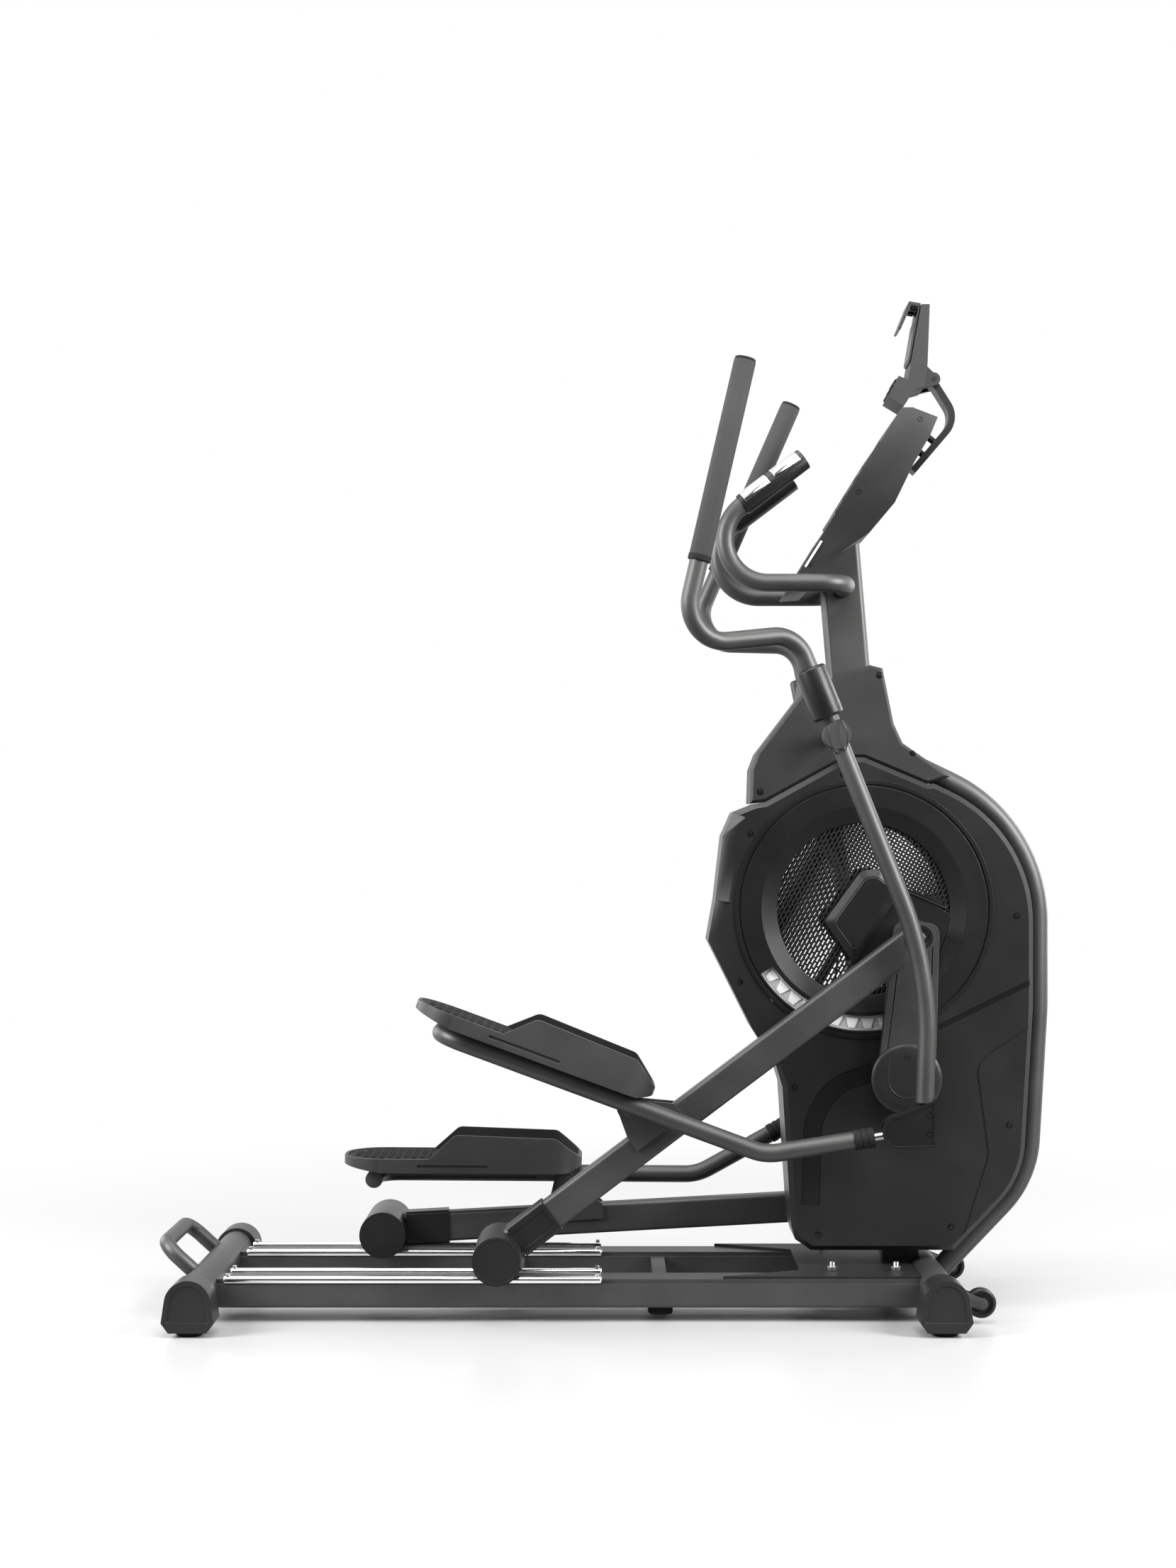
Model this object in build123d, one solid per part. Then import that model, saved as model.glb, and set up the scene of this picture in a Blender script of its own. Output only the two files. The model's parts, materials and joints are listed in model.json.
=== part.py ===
from build123d import *
import math
import os

# Elliptical trainer with a front drive, a ramp arm and a swing handle on each side.
# Millimetres. X points forward, Y to the user's left, Z up.
# The drawing's zero is on the floor below the front stabilizer. Each piece is moved at the end, so that
# the part's own zero is on the floor at the centre of its box.

# Fits between pieces
SEAT_GAP = 0.3
RUNNING_GAP = 0.05

# Base frame
BASE_WIDTH = 600.0
STABILIZER_SPACING = 1286.0
FRONT_STABILIZER_X = 0.0
STABILIZER_DIAMETER = 60.0
STABILIZER_WALL = 2.5
STABILIZER_Z = 62.0
END_CAP_LENGTH = 65.0
END_CAP_WALL = 6.0
END_CAP_SHOULDER_WIDTH = 79.0
END_CAP_SKIRT_WIDTH = 90.0
END_CAP_SKIRT_Z = 25.0
END_CAP_SOLE_WIDTH = 65.0
END_CAP_CROWN = 35.4
END_CAP_PANEL_DEPTH = 2.0
END_CAP_PANEL_MARGIN = 9.0
FOOT_DIAMETER = 48.0
FOOT_HEIGHT = 8.0
RAIL_SPACING = 269.0
RAIL_WIDTH = 82.0
RAIL_BOTTOM_Z = 26.0
RAIL_SHOULDER_Z = 68.0
RAIL_LAND_WIDTH = 61.0
RAIL_LAND_HEIGHT = 7.0
RAIL_WALL = 3.0
RAIL_CORNER = 7.0
CROSSBAR_PLACES = (547.0, 805.0)
CROSSBAR_WIDTH = 25.0
CROSSBAR_HEIGHT = 30.0
MID_FOOT_DIAMETER = 44.0
MID_FOOT_HEIGHT = 16.0
BASE_PLATE_THICKNESS = 5.0
BASE_PLATE_TIP = 372.0
BASE_PLATE_LENGTH = 233.0
BASE_BOLT_SETBACKS = (176.0, 63.0)
BASE_BOLT_Y = 112.0
BOLT_HEAD_RADIUS = 9.0
BOLT_HEAD_HEIGHT = 8.0
BOLT_SHANK_RADIUS = 5.0
BOLT_STAND = 16.0
HANDLE_TUBE = 27.0
HANDLE_HALF_WIDTH = 117.0
HANDLE_REACH = 72.5
HANDLE_Z = 128.0
HANDLE_BEND = 34.0
TUBE_WALL = 2.5

# Track rods that the rollers run on
ROD_DIAMETER = 14.0
ROD_SPACING = 77.0
ROD_START = 41.0
ROD_LENGTH = 661.0
ROD_SCREW_INSET = 8.0
ROD_SCREW_RADIUS = 4.0
ROD_SCREW_HEIGHT = 4.0

# Transport wheels on the front stabilizer
WHEEL_RADIUS = 26.0
WHEEL_WIDTH = 22.0
WHEEL_REACH = 76.5
WHEEL_Z = 36.7
WHEEL_Y = 178.0
WHEEL_AXLE_RADIUS = 5.0
WHEEL_FORK_THICKNESS = 4.0

# Linkage: crank, ramp arm, foot bar and swing arm
CRANK_X = -43.0
CRANK_Z = 418.5
CRANK_RADIUS = 255.0
CRANK_REST_ANGLE = 4.1
RAMP_ARM_LENGTH = 929.0
HINGE_ALONG = 340.0
HINGE_RISE = 70.0
LINK_LENGTH = 475.0
PEDAL_LOW_TILT = -0.387
SWING_X = -175.7
SWING_Z = 1025.0
SWING_LENGTH = 701.0
ROLLER_RADIUS = 31.2
ROLLER_WIDTH = 30.0
ROLLER_AXLE_RADIUS = 8.0
ROLLER_HOUSING_RADIUS = 42.5
ROLLER_HOUSING_WALL = 4.0
ROLLER_HOUSING_WIDTH = 161.0
ROLLER_HOUSING_MEAN_ANGLE = 20.0
ROLLER_HOUSING_CUT = 18.0
RAMP_ARM_HEIGHT = 55.0
RAMP_ARM_WIDTH = 38.0
RAMP_ARM_WALL = 2.5
RAMP_ARM_CORNER = 7.0
RAMP_SLEEVE_LENGTH = 78.0
RAMP_SLEEVE_WALL = 3.5
CRANK_BOSS_RADIUS = 27.0
CRANK_BOSS_LENGTH = 52.0
HINGE_PIN_RADIUS = 12.0
HINGE_EAR_RADIUS = 21.0
HINGE_EAR_THICKNESS = 6.0
HINGE_EAR_FOOT = 34.0

# Crank
CRANK_GAP = 4.0
CRANK_ARM_THICKNESS = 24.0
CRANK_TIP_HALF = 39.0
CRANK_TIP_LENGTH = 24.0
CRANK_TIP_CORNER = 20.0
CRANK_ROOT_RADIUS = 52.0
CRANK_LINE_INSET = 11.0
CRANK_GROOVE = 2.0
CRANK_CAP_RADIUS = 63.0
CRANK_CAP_THICKNESS = 9.0
CRANK_CAP_LINE_RADIUS = 35.0
CRANK_AXLE_RADIUS = 12.5
CRANK_PIN_GAP = 0.5
PULLEY_RADIUS = 130.0
PULLEY_WIDTH = 14.0
PULLEY_Y = 26.0
PULLEY_WEB = 5.0
PULLEY_HOLES = 5
SHELL_RADIUS = 30.0
SHELL_REACH = 45.0

# Foot bar and pedal
FOOT_BAR_Y = 185.0
FOOT_BAR_DIAMETER = 32.0
FOOT_BAR_RISE = 8.5
FOOT_BAR_REAR = -354.0
FOOT_BAR_INNER_Y = 84.0
FOOT_BAR_BEND_X = 250.0
FOOT_BAR_REAR_BEND = 45.0
FOOT_BAR_FRONT_BEND = 90.0
ROD_END_RADIUS = 15.0
ROD_END_THICKNESS = 20.0
ROD_END_SHANK = 8.0
ROD_END_LENGTH = 52.0
PEDAL_WIDTH = 170.0
PEDAL_REAR = -412.0
PEDAL_NOSE = 31.0
PEDAL_THICKNESS = 22.0
PEDAL_WALL = 6.0
PEDAL_LIP = 4.0
PEDAL_GUARD_HEIGHT = 69.0
PEDAL_GUARD_REAR = -250.0
PEDAL_REAR_CORNER = 72.0
PEDAL_NOSE_CORNER = 55.0
PEDAL_SLOT_LENGTH = 130.0
PEDAL_SLOT_HEIGHT = 4.0
TREAD_RIBS = 7
TREAD_RIB_HEIGHT = 2.5
TREAD_RIB_WIDTH = 5.0

# Swing arm and handlebar, in the arm's own frame: pivot at zero, lower joint straight below it
SWING_TUBE = 32.0
SWING_ARM_Y = 185.0
SWING_KNEE_X = 94.4
SWING_KNEE_Z = -426.9
SWING_KNEE_BEND = 650.0
SWING_FOOT_X = 50.0
SWING_FOOT_RISE = 46.0
SWING_AXLE_RADIUS = 12.5
SWING_HUB_RADIUS = 24.0
SWING_HUB_WIDTH = 40.0
CLEVIS_WIDTH = 40.0
CLEVIS_NOSE_RADIUS = 29.0
CLEVIS_NOSE_SETBACK = 4.0
CLEVIS_TOP_X = 68.0
CLEVIS_TOP_Z = 50.0
CLEVIS_SOLE_X = 54.0
CLEVIS_SOLE_Z = -33.0
CLEVIS_SLOT_GAP = 1.0
CLEVIS_PLAY = 9.0
BAR_SHOULDER_X = -42.3
BAR_SHOULDER_Z = 185.1
BAR_ELBOW_X = -249.3
BAR_ELBOW_Z = 191.2
BAR_TOP_X = -63.0
BAR_TOP_Z = 648.5
BAR_GRIP_Y = 268.0
BAR_SHOULDER_BEND = 55.0
BAR_ELBOW_BEND = 65.0
GRIP_DIAMETER = 38.0
GRIP_LENGTH = 350.0
GRIP_END = 6.0
SLEEVE_RADIUS = 28.0
SLEEVE_START = 34.0
SLEEVE_LENGTH = 92.0
BALL_RADIUS = 34.0

# Spine tube and mast
SPINE_DIAMETER = 38.0
SPINE_FRONT_X = 208.0
SPINE_KNEE_Z = 871.5
SPINE_UPPER_ANGLE = 25.6
SPINE_UPPER_BEND = 281.0
SPINE_BACK_Z = 540.0
SPINE_BACK_BEND = 900.0
SPINE_LOW_SETBACK = 18.5
SPINE_LOW_Z = 229.8
SPINE_LOW_BEND = 185.0
MAST_DEPTH = 76.0
MAST_WIDTH = 50.0
MAST_CORNER = 10.0
MAST_LEAN = 4.85
MAST_MID_REACH = 38.9
MAST_MID_RISE = 133.0
MAST_BOTTOM_Z = 985.0
MAST_TOP_Z = 1400.0
MAST_SETBACK = 20.0
PIVOT_HOUSING_RADIUS = 21.0

# Drive inside the shroud
RING_SETBACK = 72.0
RING_RISE = 300.5
FLYWHEEL_RADIUS = 222.0
FLYWHEEL_RIM = 34.0
FLYWHEEL_WIDTH = 32.0
FLYWHEEL_Y = -15.0
FLYWHEEL_SPOKES = 3
FLYWHEEL_SPOKE_WIDTH = 16.0
FLYWHEEL_SPOKE_THICKNESS = 12.0
FLYWHEEL_HUB_RADIUS = 32.0
FLYWHEEL_AXLE_RADIUS = 10.0
SMALL_PULLEY_RADIUS = 24.0
BELT_THICKNESS = 3.0
BELT_WIDTH = 12.0
FORK_HEIGHT = 48.0
FORK_THICKNESS = 6.0
FORK_RIGHT_Y = 46.0
FORK_LEFT_Y = 48.0
FORK_REACH = 34.0
FORK_SETBACK = 12.0
BRAKE_GAP = 4.0
BRAKE_THICKNESS = 14.0
BRAKE_WIDTH = 42.0
BRAKE_START = -10.0
BRAKE_SPAN = 48.0
BRAKE_PIN_RADIUS = 6.0
POST_DEPTH = 65.0
POST_WIDTH = 40.0
POST_WALL = 4.0
STRUT_HEIGHT = 38.0
STRUT_WIDTH = 30.0

# Side covers. Points of their outlines are distances from the ring's centre, forward and up.
SHROUD_HALF = 72.0
COVER_WALL = 3.0
COVER_BEVEL = 9.0
COVER_CROWN = (-195.5, 189.0)
COVER_CROWN_BEVEL = (-233.5, 174.0)
COVER_SHOULDER = (-252.5, 131.0)
COVER_REAR = (-265.5, 16.0)
COVER_TAIL = (-278.5, -57.0)
COVER_BELLY = (-200.5, -213.0)
COVER_WAIST = (-156.5, -282.0)
COVER_WAIST_LOW = (-145.5, -319.0)
COVER_HEEL = (-129.5, -569.0)
COVER_HEEL_BEVEL = (-122.5, -592.0)
COVER_SOLE_REAR = (-94.5, -611.0)
COVER_SOLE_FRONT = (194.5, -611.0)
COVER_FRONT_TOP = (174.5, 231.0)
TAIL_BEVEL_WIDTH = 28.0
TAIL_BEVEL_DEPTH = 15.0
RELIEF_DEPTH = 1.5
STEP_START = (300.0, -130.0)
STEP_END = (132.0, -212.0)
STEP_WIDTH = 10.0
SWOOSH_START = (16.0, -291.0)
SWOOSH_CROWN = (-60.0, -318.0)
SWOOSH_KNEE = (-92.0, -380.0)
SWOOSH_END = (-96.0, -530.0)
SWOOSH_BEND = 90.0
SWOOSH_WIDTH = 34.0
PANEL_TOP_FRONT = (298.0, -209.0)
PANEL_TOP_REAR = (200.0, -274.0)
PANEL_MIDDLE = (222.0, -440.0)
PANEL_LOW = (178.0, -580.0)
PANEL_BEND = 38.0
PANEL_LINE = 4.0
PARTING_REAR = (-176.5, 192.0)
PARTING_RISE = (-49.5, 262.0)
PARTING_CROWN_REAR = (-18.5, 272.0)
PARTING_CROWN_FRONT = (1.5, 272.0)
PARTING_FRONT = (115.5, 224.0)

# Neck covers, in the same way
NECK_HALF = 62.0
NECK_BEVEL = 5.0
NECK_TAIL = (-203.5, 189.0)
NECK_NOSE = (156.5, 238.0)
NECK_FRONT_KNEE = (70.5, 298.0)
NECK_FRONT = (54.5, 333.0)
NECK_TOP_FRONT = (34.5, 432.0)
NECK_TOP = (11.5, 438.0)
NECK_TOP_MID = (-49.5, 415.0)
NECK_TOP_REAR = (-111.5, 405.0)
NECK_STEP = (-111.5, 384.0)
NECK_REAR = (-190.5, 280.0)
NECK_REAR_LOW = (-201.5, 251.0)

# Ring in the side covers: bezel, window, grille and hub cover
BEZEL_RADIUS = 232.0
BEZEL_INNER_RADIUS = 155.0
BEZEL_STEP_RADIUS = 184.0
BEZEL_LINE_RADIUS = 221.0
BEZEL_LINE = 3.0
BEZEL_RISE = 3.0
BEZEL_DEPTH = 12.0
GRILLE_RADIUS = 168.0
GRILLE_THICKNESS = 2.0
GRILLE_PITCH_X = 19.0
GRILLE_PITCH_Z = 15.0
GRILLE_SLOT_LENGTH = 11.0
GRILLE_SLOT_WIDTH = 5.0
GRILLE_SLOT_ANGLE = 60.0
GRILLE_MARGIN = 9.0
HUB_COVER_RISE = 4.0
HUB_SHOULDER = 14.0
HUB_TAIL = (-70.5, -22.0)
HUB_CROWN_REAR = (-4.5, 69.0)
HUB_CROWN_FRONT = (25.5, 73.0)
HUB_NECK = (70.5, 39.0)
HUB_HEEL = (-16.5, -98.0)
HUB_PANEL_START = -68.0
HUB_PANEL_END = -3.0
WINDOW_START = 212.0
WINDOW_SPAN = 72.0
WINDOW_INNER_RADIUS = 191.0
WINDOW_OUTER_RADIUS = 218.0
WINDOW_TEETH = 9

# Cover screws, sunk in round wells
COVER_SCREWS = [
    (-203.5, 135.0),
    (-123.5, -318.0),
    (-82.5, -582.0),
    (154.5, -568.0),
    (259.5, -386.0),
    (272.5, -12.0),
    (-37.5, 242.0),
]
TAIL_SCREW = (-222.5, -131.0)
NECK_SCREWS = [(28.5, 419.0), (88.5, 280.0), (-185.5, 210.0)]
SCREW_RADIUS = 4.5
SCREW_WELL_RADIUS = 6.0
SCREW_WELL_DEPTH = 2.0
SCREW_HEAD = 1.2

# Console, pulse handlebar and tablet holder
CONSOLE_TOP_HALF = 160.0
CONSOLE_LOW_HALF = 95.0
CONSOLE_TAPER_RISE = 195.0
CONSOLE_SETBACK = 107.0
CONSOLE_DROP = 12.0
CONSOLE_CROWN_REACH = 197.0
CONSOLE_CROWN_RISE = 316.0
CONSOLE_WALL = 3.0
CONSOLE_BACK = [
    (216.0, 316.0),
    (260.0, 299.0),
    (247.0, 268.0),
    (219.0, 220.0),
    (187.0, 152.0),
    (145.0, 102.0),
    (97.0, 70.0),
    (60.0, 24.0),
    (37.0, 3.0),
]
SCREEN_ALONG = 235.0
BUTTON_ALONG = 125.0
SCREEN_WIDTH = 210.0
SCREEN_HEIGHT = 120.0
SCREEN_THICKNESS = 4.0
BUTTON_RADIUS = 9.0
BUTTON_SPACING = 45.0
BUTTON_HEIGHT = 7.0
BUTTON_TRAVEL = 2.0
PULSE_TUBE = 32.0
PULSE_Y = 127.0
PULSE_Z = 1297.0
PULSE_REACH = 368.4
PULSE_END_SETBACK = 84.2
PULSE_END_RISE = 215.4
PULSE_LOOP_BEND = 76.0
PULSE_CROSS_BEND = 48.0
PULSE_GRIP_DIAMETER = 39.0
PULSE_GRIP_LENGTH = 136.0
PULSE_PLATE_LENGTH = 54.0
PULSE_PLATE_THICKNESS = 1.0
STRAP_PIN = (74.0, 75.0)
STRAP_KNEE = (118.0, 5.0)
STRAP_FOOT = (38.0, -89.0)
STRAP_WIDTH = 40.0
STRAP_THICKNESS = 12.0
STRAP_BEND = 42.0
HOLDER_WIDTH = 88.0
HOLDER_TOP_BACK = (65.0, 207.0)
HOLDER_TOP = (50.0, 207.0)
HOLDER_SEAT = (26.0, 71.0)
HOLDER_LIP_TOP = (9.0, 78.0)
HOLDER_LIP = (-10.0, 40.0)
HOLDER_LIP_LOW = (18.0, 23.0)
HOLDER_HEEL = (38.0, 54.0)
HOLDER_BACK_LOW = (56.0, 59.0)
HOLDER_BACK = (61.0, 99.0)
KNUCKLE_PIN_RADIUS = 5.0
KNUCKLE_LUG = 10.0
JAW_WIDTH = 70.0
JAW_RUNNER = 4.0
JAW_LIP = 4.0
JAW_DEPTH = 22.0
JAW_HOOK_DEPTH = 33.0
JAW_HOOK_LENGTH = 48.0
JAW_HOOK_THICKNESS = 5.0


def side_plate(outline, inner, outer):
    """Extrude a side outline on the right side, between two distances from the middle plane."""
    return extrude(Plane.XZ.offset(inner) * outline, amount=outer - inner)


def cross_cylinder(x, z, radius, inner, outer):
    """A cylinder along Y on the right side."""
    return side_plate(Pos(x, z) * Circle(radius), inner, outer)


def left_of(shape):
    """The mirror image on the left side."""
    return mirror(shape, about=Plane.XZ)


def polygon(points):
    """A flat face from a list of corner points."""
    return make_face(Polyline(*points, close=True))


def bent_tube(points, bends, diameter, wall=0):
    """A round tube along straight runs joined by bends."""
    path = FilletPolyline(*points, radius=bends)
    ring = Circle(diameter / 2)
    if wall:
        ring -= Circle(diameter / 2 - wall)
    return sweep(Plane(origin=path @ 0, z_dir=path % 0) * ring, path=path)


def rod_between(start, end, radius):
    """A solid round rod from one point to another."""
    axis = Vector(*end) - Vector(*start)
    return extrude(Plane(origin=start, z_dir=axis) * Circle(radius), amount=axis.length)


def largest(sketch):
    """The biggest face of a sketch that a cut has divided."""
    return sketch.faces().sort_by(SortBy.AREA)[-1]


def at_angle(x, z, angle):
    """Place a shape that was drawn at the origin: turned up by an angle, then moved."""
    return Pos(x, 0, z) * Rot(0, -angle, 0)


# Heights and places that follow from the sizes above
REAR_STABILIZER_X = FRONT_STABILIZER_X - STABILIZER_SPACING
ROD_REAR_X = REAR_STABILIZER_X + ROD_START
HANDLE_REAR_X = REAR_STABILIZER_X - HANDLE_REACH
WHEEL_X = FRONT_STABILIZER_X + WHEEL_REACH
RAIL_Y = RAIL_SPACING / 2
RAIL_TOP_Z = RAIL_SHOULDER_Z + RAIL_LAND_HEIGHT
ROD_Z = RAIL_SHOULDER_Z + ROD_DIAMETER / 2 + SEAT_GAP / 3
ROLLER_AXLE_Z = ROD_Z + ROD_DIAMETER / 2 + SEAT_GAP + ROLLER_RADIUS
PLATE_TOP_Z = RAIL_TOP_Z + BASE_PLATE_THICKNESS
CRANK_INNER = SHROUD_HALF + BEZEL_RISE + CRANK_GAP
CRANK_OUTER = CRANK_INNER + CRANK_ARM_THICKNESS
FORK_FRONT_X = SPINE_FRONT_X - SPINE_DIAMETER / 2 - FORK_SETBACK
RING_X = CRANK_X - RING_SETBACK
RING_Z = CRANK_Z + RING_RISE
SPINE_LOW_X = SPINE_FRONT_X - SPINE_LOW_SETBACK
MAST_MID_X = SWING_X + MAST_MID_REACH
MAST_MID_Z = SWING_Z + MAST_MID_RISE
HANDLE_END_X = HANDLE_REAR_X - HANDLE_TUBE / 2
BOX_CENTRE_X = (SPINE_FRONT_X + SPINE_DIAMETER / 2 + HANDLE_END_X) / 2


def solve_linkage(crank_angle):
    """Pivot places of one side for a crank angle counted forward from straight up."""
    turn = math.radians(crank_angle)
    pin_x = CRANK_X + CRANK_RADIUS * math.sin(turn)
    pin_z = CRANK_Z + CRANK_RADIUS * math.cos(turn)
    climb = pin_z - ROLLER_AXLE_Z
    roller_x = pin_x - math.sqrt(RAMP_ARM_LENGTH**2 - climb**2)
    ramp = math.atan2(climb, pin_x - roller_x)
    hinge_x = roller_x + HINGE_ALONG * math.cos(ramp) - HINGE_RISE * math.sin(ramp)
    hinge_z = ROLLER_AXLE_Z + HINGE_ALONG * math.sin(ramp) + HINGE_RISE * math.cos(ramp)
    span_x = SWING_X - hinge_x
    span_z = SWING_Z - hinge_z
    span = math.hypot(span_x, span_z)
    share = (LINK_LENGTH**2 - SWING_LENGTH**2 + span**2) / (2 * span)
    offset = math.sqrt(LINK_LENGTH**2 - share**2)
    joint_x = hinge_x + (share * span_x + offset * span_z) / span
    joint_z = hinge_z + (share * span_z - offset * span_x) / span
    link = math.atan2(joint_z - hinge_z, joint_x - hinge_x)
    swing = math.atan2(joint_x - SWING_X, SWING_Z - joint_z)
    return {
        "pin": (pin_x, pin_z),
        "roller": (roller_x, ROLLER_AXLE_Z),
        "hinge": (hinge_x, hinge_z),
        "joint": (joint_x, joint_z),
        "ramp_angle": math.degrees(ramp),
        "link_angle": math.degrees(link),
        "swing_angle": math.degrees(swing),
    }


# The right crank arm stands near its top. The left one is half a turn on, where the pedal lies level.
RIGHT = solve_linkage(CRANK_REST_ANGLE)
LEFT = solve_linkage(CRANK_REST_ANGLE + 180)
LINK_ANGLE = LEFT["link_angle"] - PEDAL_LOW_TILT


# Base frame

def make_stabilizer(x):
    """A round cross tube that ends inside its two caps."""
    half = BASE_WIDTH / 2 - END_CAP_WALL - SEAT_GAP
    ring = Circle(STABILIZER_DIAMETER / 2) - Circle(STABILIZER_DIAMETER / 2 - STABILIZER_WALL)
    plane = Plane.XZ.offset(-half)
    return extrude(plane * Pos(x, STABILIZER_Z) * ring, amount=2 * half)


def stabilizer_clearance():
    """Both stabilizer tubes as full rods with a weld gap, to cope what meets them."""
    radius = STABILIZER_DIAMETER / 2 + SEAT_GAP
    plane = Plane.XZ.offset(-BASE_WIDTH / 2)
    circles = Pos(REAR_STABILIZER_X, STABILIZER_Z) * Circle(radius)
    circles += Pos(FRONT_STABILIZER_X, STABILIZER_Z) * Circle(radius)
    return extrude(plane * circles, amount=BASE_WIDTH)


def end_cap_outline():
    """The arch of a cap's end face: a round crown, a flared skirt and a drawn-in sole."""
    shoulder = END_CAP_SHOULDER_WIDTH / 2
    skirt = END_CAP_SKIRT_WIDTH / 2
    sole = END_CAP_SOLE_WIDTH / 2
    crown_top = STABILIZER_Z + END_CAP_CROWN
    lower = Polyline(
        (-shoulder, STABILIZER_Z),
        (-skirt, END_CAP_SKIRT_Z),
        (-sole, FOOT_HEIGHT),
        (sole, FOOT_HEIGHT),
        (skirt, END_CAP_SKIRT_Z),
        (shoulder, STABILIZER_Z),
    )
    crown = ThreePointArc((shoulder, STABILIZER_Z), (0, crown_top), (-shoulder, STABILIZER_Z))
    return make_face(lower + crown)


def make_end_cap(x):
    """Right-hand cap: an arch over the tube's end with a sunk panel above the skirt's edge."""
    outer = BASE_WIDTH / 2
    outline = end_cap_outline()
    cap = side_plate(Pos(x, 0) * outline, outer - END_CAP_LENGTH, outer)
    above_skirt = Pos(0, END_CAP_SKIRT_Z + BASE_WIDTH / 2) * Rectangle(BASE_WIDTH, BASE_WIDTH)
    panel = offset(outline, amount=-END_CAP_PANEL_MARGIN) & above_skirt
    cap -= side_plate(Pos(x, 0) * panel, outer - END_CAP_PANEL_DEPTH, outer)
    socket = STABILIZER_DIAMETER / 2 + SEAT_GAP
    return cap - cross_cylinder(x, STABILIZER_Z, socket, outer - END_CAP_LENGTH, outer - END_CAP_WALL)


def make_floor_feet():
    """Rubber discs under the caps, and two more under the rails' middle crossbar."""
    foot_y = (BASE_WIDTH - END_CAP_LENGTH) / 2
    foot = Cylinder(FOOT_DIAMETER / 2, FOOT_HEIGHT, align=(Align.CENTER, Align.CENTER, Align.MIN))
    foot = chamfer(foot.edges().group_by(Axis.Z)[0], FOOT_HEIGHT / 4)
    feet = []
    for x in (REAR_STABILIZER_X, FRONT_STABILIZER_X):
        for y in (-foot_y, foot_y):
            feet.append(Pos(x, y, 0) * foot)
    mid = Cylinder(MID_FOOT_DIAMETER / 2, MID_FOOT_HEIGHT, align=(Align.CENTER, Align.CENTER, Align.MAX))
    mid = chamfer(mid.edges().group_by(Axis.Z)[0], FOOT_HEIGHT / 4)
    for y in (-RAIL_Y, RAIL_Y):
        feet.append(Pos(REAR_STABILIZER_X + CROSSBAR_PLACES[1], y, RAIL_BOTTOM_Z) * mid)
    return Compound(children=feet)


def make_rail():
    """Right-hand rail: a rolled hat section whose shoulders carry the track rods."""
    half = RAIL_WIDTH / 2
    land = RAIL_LAND_WIDTH / 2
    hat = polygon([
        (-half, RAIL_BOTTOM_Z),
        (half, RAIL_BOTTOM_Z),
        (half, RAIL_SHOULDER_Z),
        (land, RAIL_SHOULDER_Z),
        (land, RAIL_TOP_Z),
        (-land, RAIL_TOP_Z),
        (-land, RAIL_SHOULDER_Z),
        (-half, RAIL_SHOULDER_Z),
    ])
    low_corners = hat.vertices().group_by(Axis.Y)[0]
    hollow = offset(hat, amount=-RAIL_WALL)
    hat = fillet(low_corners, RAIL_CORNER) - hollow
    plane = Plane.YZ.offset(REAR_STABILIZER_X)
    rail = extrude(plane * Pos(-RAIL_Y, 0) * hat, amount=STABILIZER_SPACING)
    return rail - stabilizer_clearance()


def make_base_rails():
    """Both rails and the flat bars welded between them."""
    rail = make_rail()
    length = RAIL_SPACING - RAIL_WIDTH - 2 * SEAT_GAP
    bar = Box(CROSSBAR_WIDTH, length, CROSSBAR_HEIGHT)
    height = RAIL_SHOULDER_Z - CROSSBAR_HEIGHT / 2
    bars = [Pos(REAR_STABILIZER_X + place, 0, height) * bar for place in CROSSBAR_PLACES]
    return Compound(children=[rail, left_of(rail)] + bars)


def make_base_plate():
    """The plate on the rails that carries the drive, with a tongue along each rail."""
    outer = RAIL_Y + RAIL_LAND_WIDTH / 2
    inner = RAIL_Y - RAIL_LAND_WIDTH / 2
    front = FRONT_STABILIZER_X
    plate = polygon([
        (front - BASE_PLATE_TIP, outer),
        (front - BASE_PLATE_LENGTH, inner),
        (front - BASE_PLATE_LENGTH, -inner),
        (front - BASE_PLATE_TIP, -outer),
        (front, -outer),
        (front, outer),
    ])
    for setback in BASE_BOLT_SETBACKS:
        for y in (-BASE_BOLT_Y, BASE_BOLT_Y):
            plate -= Pos(front - setback, y) * Circle(BOLT_SHANK_RADIUS + SEAT_GAP)
    solid = extrude(Plane.XY.offset(RAIL_TOP_Z) * plate, amount=BASE_PLATE_THICKNESS)
    return solid - stabilizer_clearance()


def make_frame_bolts():
    """Hex bolts that stand in the base plate, and the screws at the track rods' ends."""
    standing = (Align.CENTER, Align.CENTER, Align.MIN)
    shank = Cylinder(BOLT_SHANK_RADIUS, BOLT_STAND + BASE_PLATE_THICKNESS, align=standing)
    nut = extrude(RegularPolygon(BOLT_HEAD_RADIUS, 6), amount=BOLT_HEAD_HEIGHT)
    bolt = shank + Pos(0, 0, BASE_PLATE_THICKNESS + SEAT_GAP / 3) * nut
    bolts = []
    for setback in BASE_BOLT_SETBACKS:
        for y in (-BASE_BOLT_Y, BASE_BOLT_Y):
            bolts.append(Pos(FRONT_STABILIZER_X - setback, y, RAIL_TOP_Z) * bolt)
    screw = Cylinder(ROD_SCREW_RADIUS, ROD_SCREW_HEIGHT, align=standing)
    screw_z = ROD_Z + ROD_DIAMETER / 2 + SEAT_GAP / 3
    for x in (ROD_REAR_X + ROD_SCREW_INSET, ROD_REAR_X + ROD_LENGTH - ROD_SCREW_INSET):
        for y in rod_places():
            bolts.append(Pos(x, y, screw_z) * screw)
    return Compound(children=bolts)


def rod_places():
    """Distances of the four track rods from the middle plane."""
    outer = RAIL_Y + ROD_SPACING / 2
    inner = RAIL_Y - ROD_SPACING / 2
    return (-outer, -inner, inner, outer)


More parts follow.
